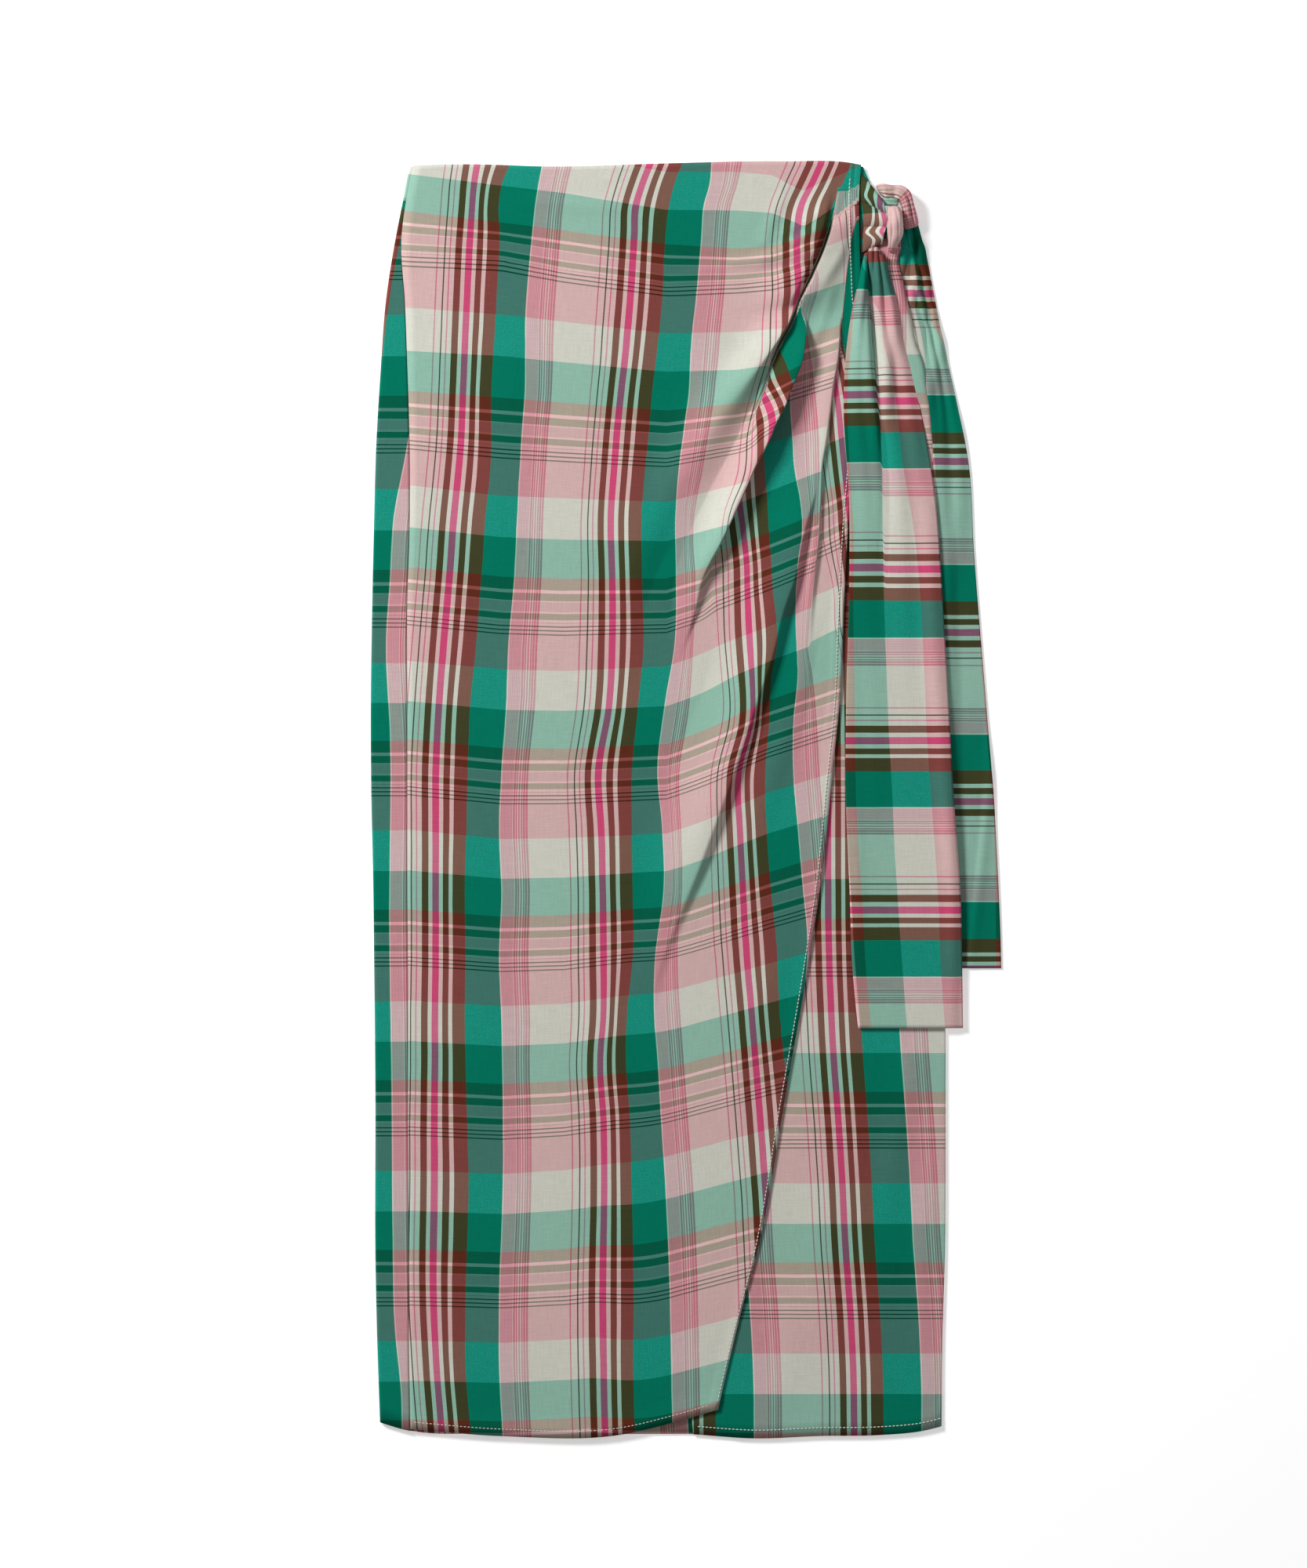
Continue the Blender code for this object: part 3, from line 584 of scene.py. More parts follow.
def smooth(at, known, values):
    """Read a curve: a cubic through the values, sloped as the line between its neighbours."""
    known = np.asarray(known, float)
    values = np.asarray(values, float)
    slopes = np.gradient(values, known)
    i = np.clip(np.searchsorted(known, at) - 1, 0, len(known) - 2)
    span = known[i + 1] - known[i]
    t = np.clip((at - known[i]) / span, 0.0, 1.0)
    start = values[i] * (1 + 2 * t) * (1 - t) ** 2 + slopes[i] * span * t * (1 - t) ** 2
    end = values[i + 1] * (3 - 2 * t) * t ** 2 - slopes[i + 1] * span * t ** 2 * (1 - t)
    return start + end


def along(rows, at, column=1):
    """Read a column of a short chart at some values of its first column."""
    chart = np.array(sorted(rows))
    return smooth(at, chart[:, 0], chart[:, column])


def beyond(rows, at, column=1):
    """Read a column of a short chart with straight lines, carried on past both ends."""
    chart = np.array(sorted(rows))
    known, values = chart[:, 0], chart[:, column]
    inside = np.interp(at, known, values)
    first = (values[1] - values[0]) / (known[1] - known[0])
    last = (values[-1] - values[-2]) / (known[-1] - known[-2])
    before = np.minimum(at - known[0], 0) * first
    after = np.maximum(at - known[-1], 0) * last
    return inside + before + after


def edge(name, y):
    """Where an upright edge of a panel lies at height y."""
    return smooth(y, EDGES[:, 0], EDGES[:, EDGE_COLUMNS.index(name)])


def ease(t):
    """Go from 0 to 1 with no kink at either end: 3 t squared less 2 t cubed."""
    t = np.clip(t, 0.0, 1.0)
    return t * t * (3 - 2 * t)


def window(at, start, full, fading, end):
    """Go from 0 at the start to 1 at full, and back to 0 from fading to the end."""
    return ease((at - start) / (full - start)) * (1 - ease((at - fading) / (end - fading)))


def between(low, high, y):
    """Spread nominal heights between a hem and the waist."""
    share = (y - NOMINAL_BOTTOM) / (NOMINAL_TOP - NOMINAL_BOTTOM)
    return low + (high - low) * share


def chart_x(x):
    """Metres to steps of the chart, rightwards."""
    return x / CHART + CHART_X


def chart_y(y):
    """Metres to steps of the chart, downwards."""
    return CHART_Y - y / CHART


def fold_line(name, down):
    """Chart x of a fold line at some chart y."""
    column = ("y", "upper", "main", "second", "strip").index(name)
    return along(FOLD_LINES, down, column)


def between_routes(at, routes, repeats, pitch):
    """Repeat at a point, in proportion between two routes, or by the pitch past the last."""
    found = repeats[0] + (at - routes[0]) / pitch
    for i in range(len(routes) - 1):
        share = np.clip((at - routes[i]) / (routes[i + 1] - routes[i]), 0.0, 1.0)
        inside = repeats[i] + share * (repeats[i + 1] - repeats[i])
        found = np.where(at > routes[i], inside, found)
    return np.where(at > routes[-1], repeats[-1] + (at - routes[-1]) / pitch, found)


def across_routes(right, down, rows, stripes, pitch=REPEAT):
    """Warp repeat at a point, between the stripes' routes, each smooth in y."""
    routes = np.stack([along(rows, down, i + 1) for i in range(len(stripes))])
    return between_routes(right, routes, stripes, pitch)


def down_routes(right, down, rows, stations):
    """Weft repeat at a point, between the bands' routes, each straight between stations."""
    routes = np.stack([beyond(list(zip(stations, row[1:])), right) for row in rows])
    return between_routes(down, routes, [row[0] for row in rows], REPEAT)


def turned(cloth, other, share):
    """Turn from one zone's warp and weft repeats to another's, by a share from 0 to 1."""
    return [here + (there - here) * share for here, there in zip(cloth, other)]


def over_cloth(x, y):
    right, down = chart_x(x), chart_y(y)
    upper, strip = fold_line("upper", down), fold_line("strip", down)
    cloth = (across_routes(right, down, LEFT_WARP, LEFT_WARP_AT),
             down_routes(right, down, LEFT_WEFT, LEFT_WEFT_AT))
    # The ridge between the two upper folds
    blur = 2.0 + 26 * ease((down - 520) / 60)
    cloth = turned(cloth, (RIDGE_STRIPE + (right - along(RIDGE_WARP, down)) / RIDGE_REPEAT,
                           down_routes(right, down, RIDGE_WEFT, RIDGE_WEFT_AT)),
                   ease((right - upper) / blur) * window(down, *SPANS["ridge"]))
    # Right of the main fold, which is the upper one above the point where the two part
    main = np.where(down < FOLDS_PART, upper, fold_line("main", down))
    blur = 0.8 + 1.7 * ease((down - 400) / 60) + 110 * ease((down - 690) / 260)
    cloth = turned(cloth, (across_routes(right, down, RIGHT_WARP, RIGHT_WARP_AT),
                           down_routes(right, down, RIGHT_WEFT, RIGHT_WEFT_AT)),
                   ease((right - main) / blur) * ease((down - 240) / 12))
    # The strip along the free edge
    strip_warp = (right - along(STRIP_WARP, down)) / along(STRIP_WARP, down, 2)
    strip_down = down + along(STRIP_WEFT_SHIFT, down)
    cloth = turned(cloth, (STRIP_STRIPE + strip_warp,
                           down_routes(right, strip_down, RIGHT_WEFT, RIGHT_WEFT_AT)),
                   ease((right - strip) / 2.5) * window(down, *SPANS["strip"]))
    # Painted shade: along the upper fold's line a narrow band takes the darkest cell, brown
    # warp on green weft, for the shadow in its crevice
    width = 0.05 + 2.1 * ease((down - 266) / 34) * (1 - ease((down - 440) / 60))
    cloth = turned(cloth, FOLD_SHADE_CELL, np.exp(-((right - upper) / width) ** 8)
                   * (down > 268) * (down < 496))
    # The grey cell in the corner by the knot, between two slanting lines
    corner = ease((276 - 0.72 * (right - 1068) - down) / 3) * ease((right - upper) / 2)
    cloth = turned(cloth, (3.398 + (right - 1094) / 190, GREEN_WEFT),
                   corner * ease((down - 246 + 0.4 * (right - 1069)) / 3))
    # The green facing along the free edge
    return turned(cloth, (GREEN_WARP, GREEN_WEFT),
                  ease((right - along(FACING_EDGE, down)) / 2)
                  * window(down, *SPANS["facing"]))


# ---- shapes ----

def crease_field(x, y, rows):
    """Sum of creases: each a bell across it and a wider bell along it, by its own turn."""
    lift = np.zeros(np.broadcast(x, y).shape)
    for middle_x, middle_y, turn, half_length, half_width, height in rows:
        dx = chart_x(x) - middle_x
        dy = -(chart_y(y) - middle_y)
        cos, sin = math.cos(math.radians(turn)), math.sin(math.radians(turn))
        lengthwise = (dx * cos + dy * sin) / half_length
        crosswise = (dy * cos - dx * sin) / half_width
        wander = 0.25 * np.sin(2.3 * lengthwise + middle_x)
        lift += 0.001 * height * np.exp(-lengthwise ** 4 - (crosswise + wander) ** 2)
    return lift


def fold_lift(fold, x, y):
    """One fold: a bell-shaped left slope and a steep right slope, faded at both ends."""
    name, height, left_reach, right_reach, span = fold
    right, down = chart_x(x), chart_y(y)
    line = fold_line(name, down)
    if name == "upper":
        lip = along(LIP, down)
        right_reach = right_reach + (line - lip) * CHART
        line = lip
    away = (right - line) * CHART
    left = np.exp(-(np.minimum(away, 0) / left_reach) ** 2)
    steep = 1 - ease(np.maximum(away, 0) / right_reach)
    return height * window(down, *span) * left * steep


def swell(x, y):
    """Near the top the cloth right of the upper fold lies over the cloth left of it.

    It rises at once right of the line and falls off as a bell, and the cloth left of the
    line swells a little and then dives below it.
    """
    right, down = chart_x(x), chart_y(y)
    away = (right - fold_line("upper", down)) * CHART
    bell = np.exp(-(np.maximum(away, 0) / OVERLAP_REACH) ** 2)
    over = OVERLAP_HEIGHT * ease((away - 0.0005) / 0.0010) * bell
    bell = np.exp(-(np.minimum(away + 0.008, 0) / DIVE_REACH) ** 2)
    under = DIVE_HEIGHT * ease((-away - 0.0006) / DIVE_LENGTH) * bell * (away < 0)
    return window(down, *SPANS["swell"]) * np.maximum(over, under)


def slot(x, y):
    """Narrow hollow where the left cloth goes under the ridge: how much height it leaves."""
    right, down = chart_x(x), chart_y(y)
    away = (right - fold_line("upper", down)) * CHART
    width = 0.0007 + 0.0006 * ease((down - 260) / 120)
    hollow = np.exp(-((away + 0.0002) / width) ** 4)
    return 1 - window(down, *SPANS["slot"]) * hollow


def mound(x, y):
    """Cloth lifted round the knot, falling off like a bell."""
    return MOUND_HEIGHT * np.exp(-((x - KNOT_X) ** 2 + (y - KNOT_Y) ** 2) / MOUND_REACH ** 2)


def over_height(x, y):
    """Underside of the over front: the highest of its folds, the mound and the creases."""
    lifts = np.array([fold_lift(fold, x, y) for fold in FOLDS])
    creases = crease_field(x, y, OVER_CREASES)
    raised = np.maximum(lifts.max(axis=0), swell(x, y))
    return OVER_LEVEL + np.maximum((raised + mound(x, y) + creases) * slot(x, y), 0.0)


def hem_step(distance, depth=0.0085):
    """Turned hem: one more layer near an edge, with a dip where the stitches pull it in."""
    layer = HEM_LAYER * (1 - ease((distance - depth) / HEM_SOFTNESS))
    dip = HEM_DIP * np.exp(-((distance - HEM_SEWN * depth) / HEM_SOFTNESS) ** 2)
    return layer - dip


def grid_mesh(name, points, cloth=None, tube=False):
    """Make a mesh from an array of points, rows by columns, with a UV map of the check.

    A tube's last column is its first one again, and both of its ends get a lid.
    """
    rows, columns = points.shape[:2]
    corner = (np.arange(rows - 1)[:, None] * columns + np.arange(columns - 1)).ravel()
    quads = np.stack((corner, corner + 1, corner + columns + 1, corner + columns), axis=1)
    corners = quads.ravel()
    starts = np.arange(0, quads.size, 4)
    if tube:
        ring = np.arange(columns - 1)
        lids = np.concatenate((ring[::-1], ring + (rows - 1) * columns))
        starts = np.concatenate((starts, (corners.size, corners.size + columns - 1)))
        corners = np.concatenate((corners, lids))
        keep = columns - 1
        vertices = (corners // columns) * keep + (corners % columns) % keep
        points = points[:, :-1]
    else:
        vertices = corners
    mesh = bpy.data.meshes.new(name)
    mesh.vertices.add(points.shape[0] * points.shape[1])
    mesh.vertices.foreach_set("co", points.astype(np.float32).ravel())
    mesh.loops.add(len(vertices))
    mesh.loops.foreach_set("vertex_index", vertices.astype(np.int32))
    mesh.polygons.add(len(starts))
    mesh.polygons.foreach_set("loop_start", starts.astype(np.int32))
    mesh.update(calc_edges=True)
    if cloth is not None:
        repeats = np.stack(cloth, axis=2).reshape(-1, 2)
        layer = mesh.uv_layers.new(name="cloth")
        layer.data.foreach_set("uv", repeats[corners].astype(np.float32).ravel())
    mesh.shade_smooth()
    return mesh


def place(name, mesh, material, nodes, slot):
    """Put a piece in the scene, riding on the skirt in place of its solids."""
    mesh.materials.append(material)
    piece = bpy.data.objects.new(name, mesh)
    bpy.context.scene.collection.objects.link(piece)
    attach(piece, "root")
    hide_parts(*nodes)
    return piece


def cut_sheet(name, made, node, slot, side, **facts):
    """Make a sheet of the cotton from its points and its repeats.

    Its wall goes along its normals where side is 1, and against them where it is -1. The
    bands of the knot are tubes, with a thinner wall.
    """
    band = node.startswith("knot")
    piece = place(name, grid_mesh(name, *made, band), cotton(), (node,), slot)
    wall = piece.modifiers.new("cloth wall", "SOLIDIFY")
    wall.thickness = BAND_WALL if band else WALL
    wall.offset = side


def section_heights(count):
    """Nominal heights from the hem to the waist, a little closer towards the waist."""
    share = np.linspace(0.0, 1.0, count)[:, None] ** 0.85
    return NOMINAL_BOTTOM + (NOMINAL_TOP - NOMINAL_BOTTOM) * share


def arc_repeats(points):
    """Warp repeats along each row of points, by its length from column 0."""
    steps = np.linalg.norm(np.diff(points, axis=1), axis=2) / (CHART * REPEAT)
    return np.concatenate((np.zeros((len(points), 1)), np.cumsum(steps, axis=1)), 1)


def back_points():
    """Back panel: flat below, half a circle round the left fold, and over to the seam."""
    y = section_heights(BACK_ROWS)
    outer = (OVER_LEVEL + WALL) / 2
    right = edge("right_fold", y) - SIDE_RETURN - 2 * GAP
    fold = edge("left_fold", y) + outer
    seam = edge("side_seam", y) - GAP
    flat = right + (fold - right) * np.linspace(0.0, 1.0, BACK_COLUMNS)
    turn = np.linspace(0.0, math.pi, TURN_COLUMNS)[1:]
    flap = fold + (seam - fold) * np.linspace(0.0, 1.0, TURN_COLUMNS)[1:]
    x = np.concatenate((flat, fold - outer * np.sin(turn), flap), axis=1)
    z = np.concatenate((np.zeros(flat.shape), outer - outer * np.cos(turn) + 0 * y,
                        np.full(flap.shape, 2 * outer)), axis=1)
    low = along(BACK_HEM, x)
    high = along(WAIST, x) - WAIST_DROP
    points = np.stack((x, between(low, high, y), z), axis=2)
    down = chart_y(points[:, -1:, 1])
    seam_repeat = 0.2245 + (chart_x(seam) - along(BACK_WARP, down)) / REPEAT
    warp = seam_repeat - arc_repeats(points[:, ::-1])[:, ::-1]
    level = chart_y(points[:, :, 1])
    weft = beyond(BACK_WEFT, level)
    # At the waist the seam runs into the fold, so that the front's check shows there
    corner = ease((262 - level) / 8) * (points[:, :, 2] > outer)
    front = down_routes(chart_x(points[:, :, 0]), level, LEFT_WEFT, LEFT_WEFT_AT)
    warp = warp + (0.5 - warp) * corner
    weft = weft + (front - weft) * corner
    return points, (warp, weft)


def under_points():
    """Under front: from its free edge over the back, and round the right fold."""
    y = section_heights(UNDER_ROWS)
    outer = (LEVEL + WALL) / 2
    left = along(UNDER_EDGE, y)
    fold = edge("right_fold", y) - outer
    end = edge("right_fold", y) - SIDE_RETURN
    flat = left + (fold - left) * np.linspace(0.0, 1.0, UNDER_COLUMNS)
    turn = np.linspace(0.0, math.pi, TURN_COLUMNS)[1:]
    under = fold + (end - fold) * np.linspace(0.0, 1.0, 6)[1:]
    x = np.concatenate((flat, fold + outer * np.sin(turn), under), axis=1)
    low = along(UNDER_HEM, x)
    high = along(WAIST, x) - WAIST_DROP
    height = between(low, high, y)
    level = height[:, :UNDER_COLUMNS]
    free = (flat - edge("wrap_edge", level) - 0.004) / 0.010
    waves = np.maximum(crease_field(flat, level, UNDER_CREASES), 0)
    bare = ease(free) * ease((-0.17 - level) / 0.02)
    hem = hem_step(level - low[:, :UNDER_COLUMNS]) * ease(free)
    z = np.concatenate((2 * outer + (waves + np.maximum(hem, -0.0001)) * bare,
                        outer + outer * np.cos(turn) + 0 * y,
                        np.zeros(under.shape)), axis=1)
    points = np.stack((x, height, z), axis=2)
    down = chart_y(height)
    warp = arc_repeats(points)
    last = slice(UNDER_COLUMNS - 1, UNDER_COLUMNS)
    flat_warp = 1.0 + (chart_x(x[:, last]) - along(UNDER_WARP, down[:, last])) / REPEAT
    return points, (flat_warp + warp - warp[:, last], beyond(UNDER_WEFT, down))


def over_points():
    """Top of the over front: its columns follow the folds, and the crests lean right."""
    y = section_heights(OVER_ROWS)
    down = chart_y(y)
    stops = [edge("side_seam", y) - GAP / 2]
    stops += [(fold_line(name, down) - CHART_X) * CHART
              for name in ("upper", "main", "second", "strip")]
    stops.append(edge("wrap_edge", y))
    spans = []
    for i, count in enumerate(OVER_COLUMNS):
        t = np.linspace(0.0, 1.0, count + 1)[None, :-1]
        t = 1 - (1 - t) ** 1.9 if i == 0 else t ** 1.25
        spans.append(stops[i] + (stops[i + 1] - stops[i]) * t)
    x = np.concatenate(spans + stops[-1:], axis=1)
    low, high = along(OVER_HEM, x), along(WAIST, x)
    height = between(low, high, y)
    z = over_height(x, height)
    z = z + hem_step(height - low) + hem_step(edge("wrap_edge", height) - x, 0.0068)
    upper = (fold_line("upper", chart_y(height)) - CHART_X) * CHART
    lean = LEAN * np.maximum(z - OVER_LEVEL - LEAN_START, 0) * ease((KNOT_X - x) / 0.01)
    lean = lean * (1 - np.exp(-((x - upper) / 0.0035) ** 2))
    points = np.stack((x + lean, height, z + WALL), axis=2)
    return points, over_cloth(x, height)


def base_points():
    """Base of the tie: three pleats, as a rounded sine without its sign, up to the knot."""
    across = np.linspace(0.0, 1.0, 26)[None, :]
    up = np.linspace(0.0, 1.0, 91)[:, None]
    seam_y = BASE_LOW + (BASE_HIGH - BASE_LOW) * up
    seam_x = edge("wrap_edge", seam_y) + 2 * GAP
    end_x = along(BASE_END, up)
    end_y = along(BASE_END, up, 2)
    x = seam_x + (end_x - seam_x) * across
    y = seam_y + (end_y - seam_y) * across
    ridge = np.abs(np.sin(math.pi * BASE_PLEATS * up)) ** 0.7
    pleats = PLEAT_HEIGHT * ridge * ease(across / 0.4)
    z = OVER_LEVEL + mound(x, y) + BASE_RISE * ease(across) + pleats
    warp = across_routes(chart_x(x), chart_y(y), BASE_WARP, BASE_WARP_AT, -145)
    weft = 0.2357 + (275 - chart_y(y)) / 240
    return np.stack((x, y, z), axis=2), (warp, weft)


def tail_pleats(across, drop, middles, height, reach):
    """Gathers left by the knot: bell-shaped ridges that die away down the tail."""
    ridges = sum(np.exp(-((across - middle) / GATHER_WIDTH) ** 2) for middle in middles)
    return height * ridges * np.exp(-(drop / reach) ** 1.5)


def tail_grid(rows, top, heights, columns):
    """Points of a tail between its edges, with a shaped upper end."""
    across = np.linspace(0.0, 1.0, columns)[None, :]
    left = along(rows, heights)
    right = along(rows, heights, 2)
    x = left + (right - left) * across
    share = (heights - heights.min()) / (heights.max() - heights.min())
    y = heights + along(top, across) * share ** 6
    return across, x, y


def tail_heights(rows, count):
    """Heights down a tail, closer together near the knot."""
    chart = np.array(rows)
    share = np.linspace(0.0, 1.0, count) ** 1.3
    return (chart[0, 0] + (chart[-1, 0] - chart[0, 0]) * share)[::-1, None]


def front_tail_points():
    """Front tail: lies over the wrap edge, gathered at the knot, and droops at the side."""
    y = tail_heights(FRONT_TAIL, TAIL_ROWS)
    across, x, height = tail_grid(FRONT_TAIL, FRONT_TAIL_TOP, y, 60)
    drop = y.max() - y
    lift = FRONT_LIFT * np.exp(-drop / FRONT_LIFT_REACH)
    pleats = tail_pleats(across, drop, *FRONT_GATHERS)
    past = (x - edge("right_fold", y) - 0.003) / DROOP_WIDTH
    level = TAIL_LEVEL - (TAIL_LEVEL - 0.0018) * ease(past)
    z = np.maximum(level, over_height(x, height) + LEVEL * ease((0.125 - x) / 0.004))
    creases = crease_field(x, height, FRONT_TAIL_CREASES)
    z = np.maximum(z + lift + pleats + creases, z)
    right, down = chart_x(x), chart_y(height)
    left_of_fold = ease((along(FRONT_TAIL_FOLD, down) - right) / 2)
    step = 8 * left_of_fold * (1 - ease((down - 580) / 220))
    warp = beyond(FRONT_TAIL_WARP, down + step)
    weft = across_routes(right, down, FRONT_TAIL_WEFT, FRONT_TAIL_WEFT_AT, -190)
    return np.stack((x, height, z), axis=2), (warp, weft)


def back_tail_points():
    """Back tail: under the front tail on the skirt, then down on the surface."""
    y = tail_heights(BACK_TAIL, TAIL_ROWS)
    across, x, height = tail_grid(BACK_TAIL, BACK_TAIL_TOP, y, 56)
    drop = y.max() - y
    uncovered = ease((x - along(FRONT_TAIL, y, 2) - 0.001) / 0.006)
    pleats = tail_pleats(across, drop, *BACK_GATHERS)
    creases = crease_field(x, height, BACK_TAIL_CREASES)
    past = (x - edge("right_fold", y) - 0.002) / DROOP_WIDTH
    level = OVER_LEVEL * (1 - ease(past))
    z = level + np.maximum(pleats + creases, 0) * uncovered
    right, down = chart_x(x), chart_y(height)
    warp = beyond(BACK_TAIL_WARP, down)
    weft = across_routes(right, down, BACK_TAIL_WEFT, BACK_TAIL_WEFT_AT, 200)
    return np.stack((x, height, z), axis=2), (warp, weft)


def strip_points():
    """Turned side of the front tail: a strip that shows between the two tails."""
    down = np.linspace(760, 306, 120)[:, None]
    across = np.linspace(0.0, 1.0, 12)[None, :]
    edge_right = along(STRIP_EDGE, down)
    edge_left = np.minimum(edge_right - 14, along(FRONT_TAIL, (CHART_Y - down) * CHART, 2)
                           / CHART + CHART_X - 8)
    right = edge_left + (edge_right - edge_left) * across
    x = (right - CHART_X) * CHART
    y = (CHART_Y - down) * CHART + 0 * x
    arch = 0.0026 * np.exp(-((down - 360) / 110) ** 2) + 0.0012
    z = OVER_LEVEL + LEVEL * 0.4 + arch * np.sqrt(np.maximum(1 - (2 * across - 1) ** 4, 0))
    z = z - 0.0022 * ease((down - 480) / 160)
    warp = 0.398 + (right - along(STRIP_PINK, down)) / 205
    weft = (down - 402) / REPEAT + 0 * x
    return np.stack((x, y, z), axis=2), (warp, weft)


def roll_points(sections, pleats, depth, twist, warp_ends, weft_span):
    """A gathered band: superellipse sections along a smooth path, creased lengthwise.

    The crease depth goes as a cosine of the angle round the band, turned along its path.
    """
    chart = np.array(sections)
    stations = np.linspace(0.0, len(chart) - 1.0, 12 * len(chart))[:, None]
    known = np.arange(len(chart))
    x, y, heading, half, low, high = (smooth(stations, known, chart[:, i]) for i in range(6))
    angle = -np.linspace(0.0, 2 * math.pi, 97)[None, :]
    power = 2 / ROLL_SQUARENESS
    out = np.sign(np.cos(angle)) * np.abs(np.cos(angle)) ** power
    up = np.sign(np.sin(angle)) * np.abs(np.sin(angle)) ** power
    share = stations / stations.max()
    folds = (0.5 + 0.5 * np.cos(pleats * angle + twist * share)) ** 3
    folds = folds + 0.6 * (0.5 + 0.5 * np.cos((pleats + 3) * angle - 5 * share)) ** 4
    crease = 1 - depth * folds * (up > 0) * up
    puckers = 1 - 0.04 * (1 + np.sin(21 * share + 2 * angle)) * np.sin(math.pi * share)
    crease = crease * puckers
    turn = np.radians(heading - 90)
    reach = half * out * crease
    points = np.stack((x + reach * np.cos(turn), y + reach * np.sin(turn),
                       (low + high) / 2 + (high - low) / 2 * up * crease), axis=2)
    warp = warp_ends[0] + (warp_ends[1] - warp_ends[0]) * share + 0 * angle
    weft = weft_span[0] + (weft_span[1] - weft_span[0]) * (0.5 + 0.5 * out) + 0 * share
    return points, (warp, weft)


def stitches(path, pitch, length, radius):
    """Stitches: one small capsule for each pitch of a path, lying along it."""
    steps = np.linalg.norm(np.diff(path, axis=0), axis=1)
    distance = np.concatenate(([0.0], np.cumsum(steps)))
    count = int(distance[-1] / pitch)
    at = (np.arange(count) + 0.5) * pitch
    middle = np.stack([np.interp(at, distance, path[:, i]) for i in range(3)], axis=1)
    ahead = np.stack([np.interp(at + 0.3 * pitch, distance, path[:, i]) for i in range(3)], 1)
    forward = ahead - middle
    forward /= np.linalg.norm(forward, axis=1)[:, None]
    side = np.cross((0.0, 0.0, 1.0), forward)
    side /= np.linalg.norm(side, axis=1)[:, None]
    upward = np.cross(forward, side)
    rings = np.array(((-0.5, 0.35), (-0.36, 0.9), (0.0, 1.0), (0.36, 0.9), (0.5, 0.35)))
    angle = np.arange(6) * math.pi / 3
    local = np.stack((np.repeat(rings[:, 0], 6) * length,
                      np.outer(rings[:, 1], np.cos(angle)).ravel() * radius,
                      np.outer(rings[:, 1], np.sin(angle)).ravel() * radius), axis=1)
    frames = np.stack((forward, side, upward), axis=1)
    points = middle[:, None, :] + local @ frames
    ring = np.arange(6)
    ahead_ring = (ring + 1) % 6
    faces = [np.stack((ring + 6 * k, ahead_ring + 6 * k, ahead_ring + 6 * k + 6,
                       ring + 6 * k + 6), axis=1) for k in range(4)]
    faces.append(np.array(((0, 5, 4, 3), (0, 3, 2, 1), (24, 25, 26, 27), (24, 27, 28, 29))))
    faces = np.concatenate(faces)
    every = (faces[None] + 30 * np.arange(count)[:, None, None]).reshape(-1, 4)
    return points.reshape(-1, 3), every


# ---- materials ----

class Link:
    """A socket that can be written in sums, differences, products and comparisons."""

    def __init__(self, tree, socket):
        self.tree = tree
        self.socket = socket

    def maths(self, operation, first, second):
        """Add a Math node for an operation on two values or links."""
        node = self.tree.nodes.new("ShaderNodeMath")
        node.operation = operation
        for i, value in enumerate((first, second)):
            feed(self.tree, node.inputs[i], value)
        return Link(self.tree, node.outputs[0])

    def __add__(self, other):
        return self.maths("ADD", self, other)

    def __radd__(self, other):
        return self.maths("ADD", other, self)

    def __sub__(self, other):
        return self.maths("SUBTRACT", self, other)

    def __rsub__(self, other):
        return self.maths("SUBTRACT", other, self)

    def __mul__(self, other):
        return self.maths("MULTIPLY", self, other)

    def __rmul__(self, other):
        return self.maths("MULTIPLY", other, self)

    def __gt__(self, other):
        return self.maths("GREATER_THAN", self, other)

    def __lt__(self, other):
        return self.maths("LESS_THAN", self, other)

    def fraction(self):
        return self.maths("FRACT", self, 0.0)

    def sine(self):
        return self.maths("SINE", self, 0.0)


def feed(tree, socket, value):
    """Link a socket, or set its value."""
    if isinstance(value, Link):
        tree.links.new(value.socket, socket)
    else:
        socket.default_value = value


class Finish:
    """A material whose nodes are added one call at a time."""

    def __init__(self, name, roughness):
        self.material = bpy.data.materials.new(name)
        self.material.use_nodes = True
        self.tree = self.material.node_tree
        self.shader = self.tree.nodes["Principled BSDF"]
        self.shader.inputs["Roughness"].default_value = roughness
        self.shader.inputs["Metallic"].default_value = 0.0
        self.shader.inputs["Specular IOR Level"].default_value = 0.05

    def node(self, kind, settings=None, inputs=None, output=0):
        """Add a node: its settings first, then the values or links of its sockets."""
        node = self.tree.nodes.new("ShaderNode" + kind)
        for key, value in (settings or {}).items():
            if key == "stops":
                self.set_stops(node.color_ramp, value)
            else:
                setattr(node, key, value)
        for key, value in (inputs or {}).items():
            feed(self.tree, node.inputs[key], value)
        return Link(self.tree, node.outputs[output])

    def set_stops(self, ramp, stops):
        """Give a ramp hard stops of position and colour."""
        ramp.interpolation = "CONSTANT"
        ramp.elements[1].position = 1.0
        for i, (position, colour) in enumerate(stops):
            stop = ramp.elements[0] if i == 0 else ramp.elements.new(position)
            stop.position = position
            stop.color = (*colour, 1.0)
        ramp.elements[len(stops)].color = (*stops[-1][1], 1.0)

    def noise(self, place, scale, detail):
        """Smooth noise round 0.5 at a place, so many times finer along each axis."""
        return self.node("TexNoise", {"noise_dimensions": "3D"}, {
            "Vector": self.vector("MULTIPLY", place, scale), "Scale": 1.0,
            "Detail": detail})

    def vector(self, operation, first, second):
        """Vector maths on colours or vectors."""
        return self.node("VectorMath", {"operation": operation}, {0: first, 1: second})

    def put(self, socket, value):
        """Feed one of the shader's sockets."""
        feed(self.tree, self.shader.inputs[socket], value)


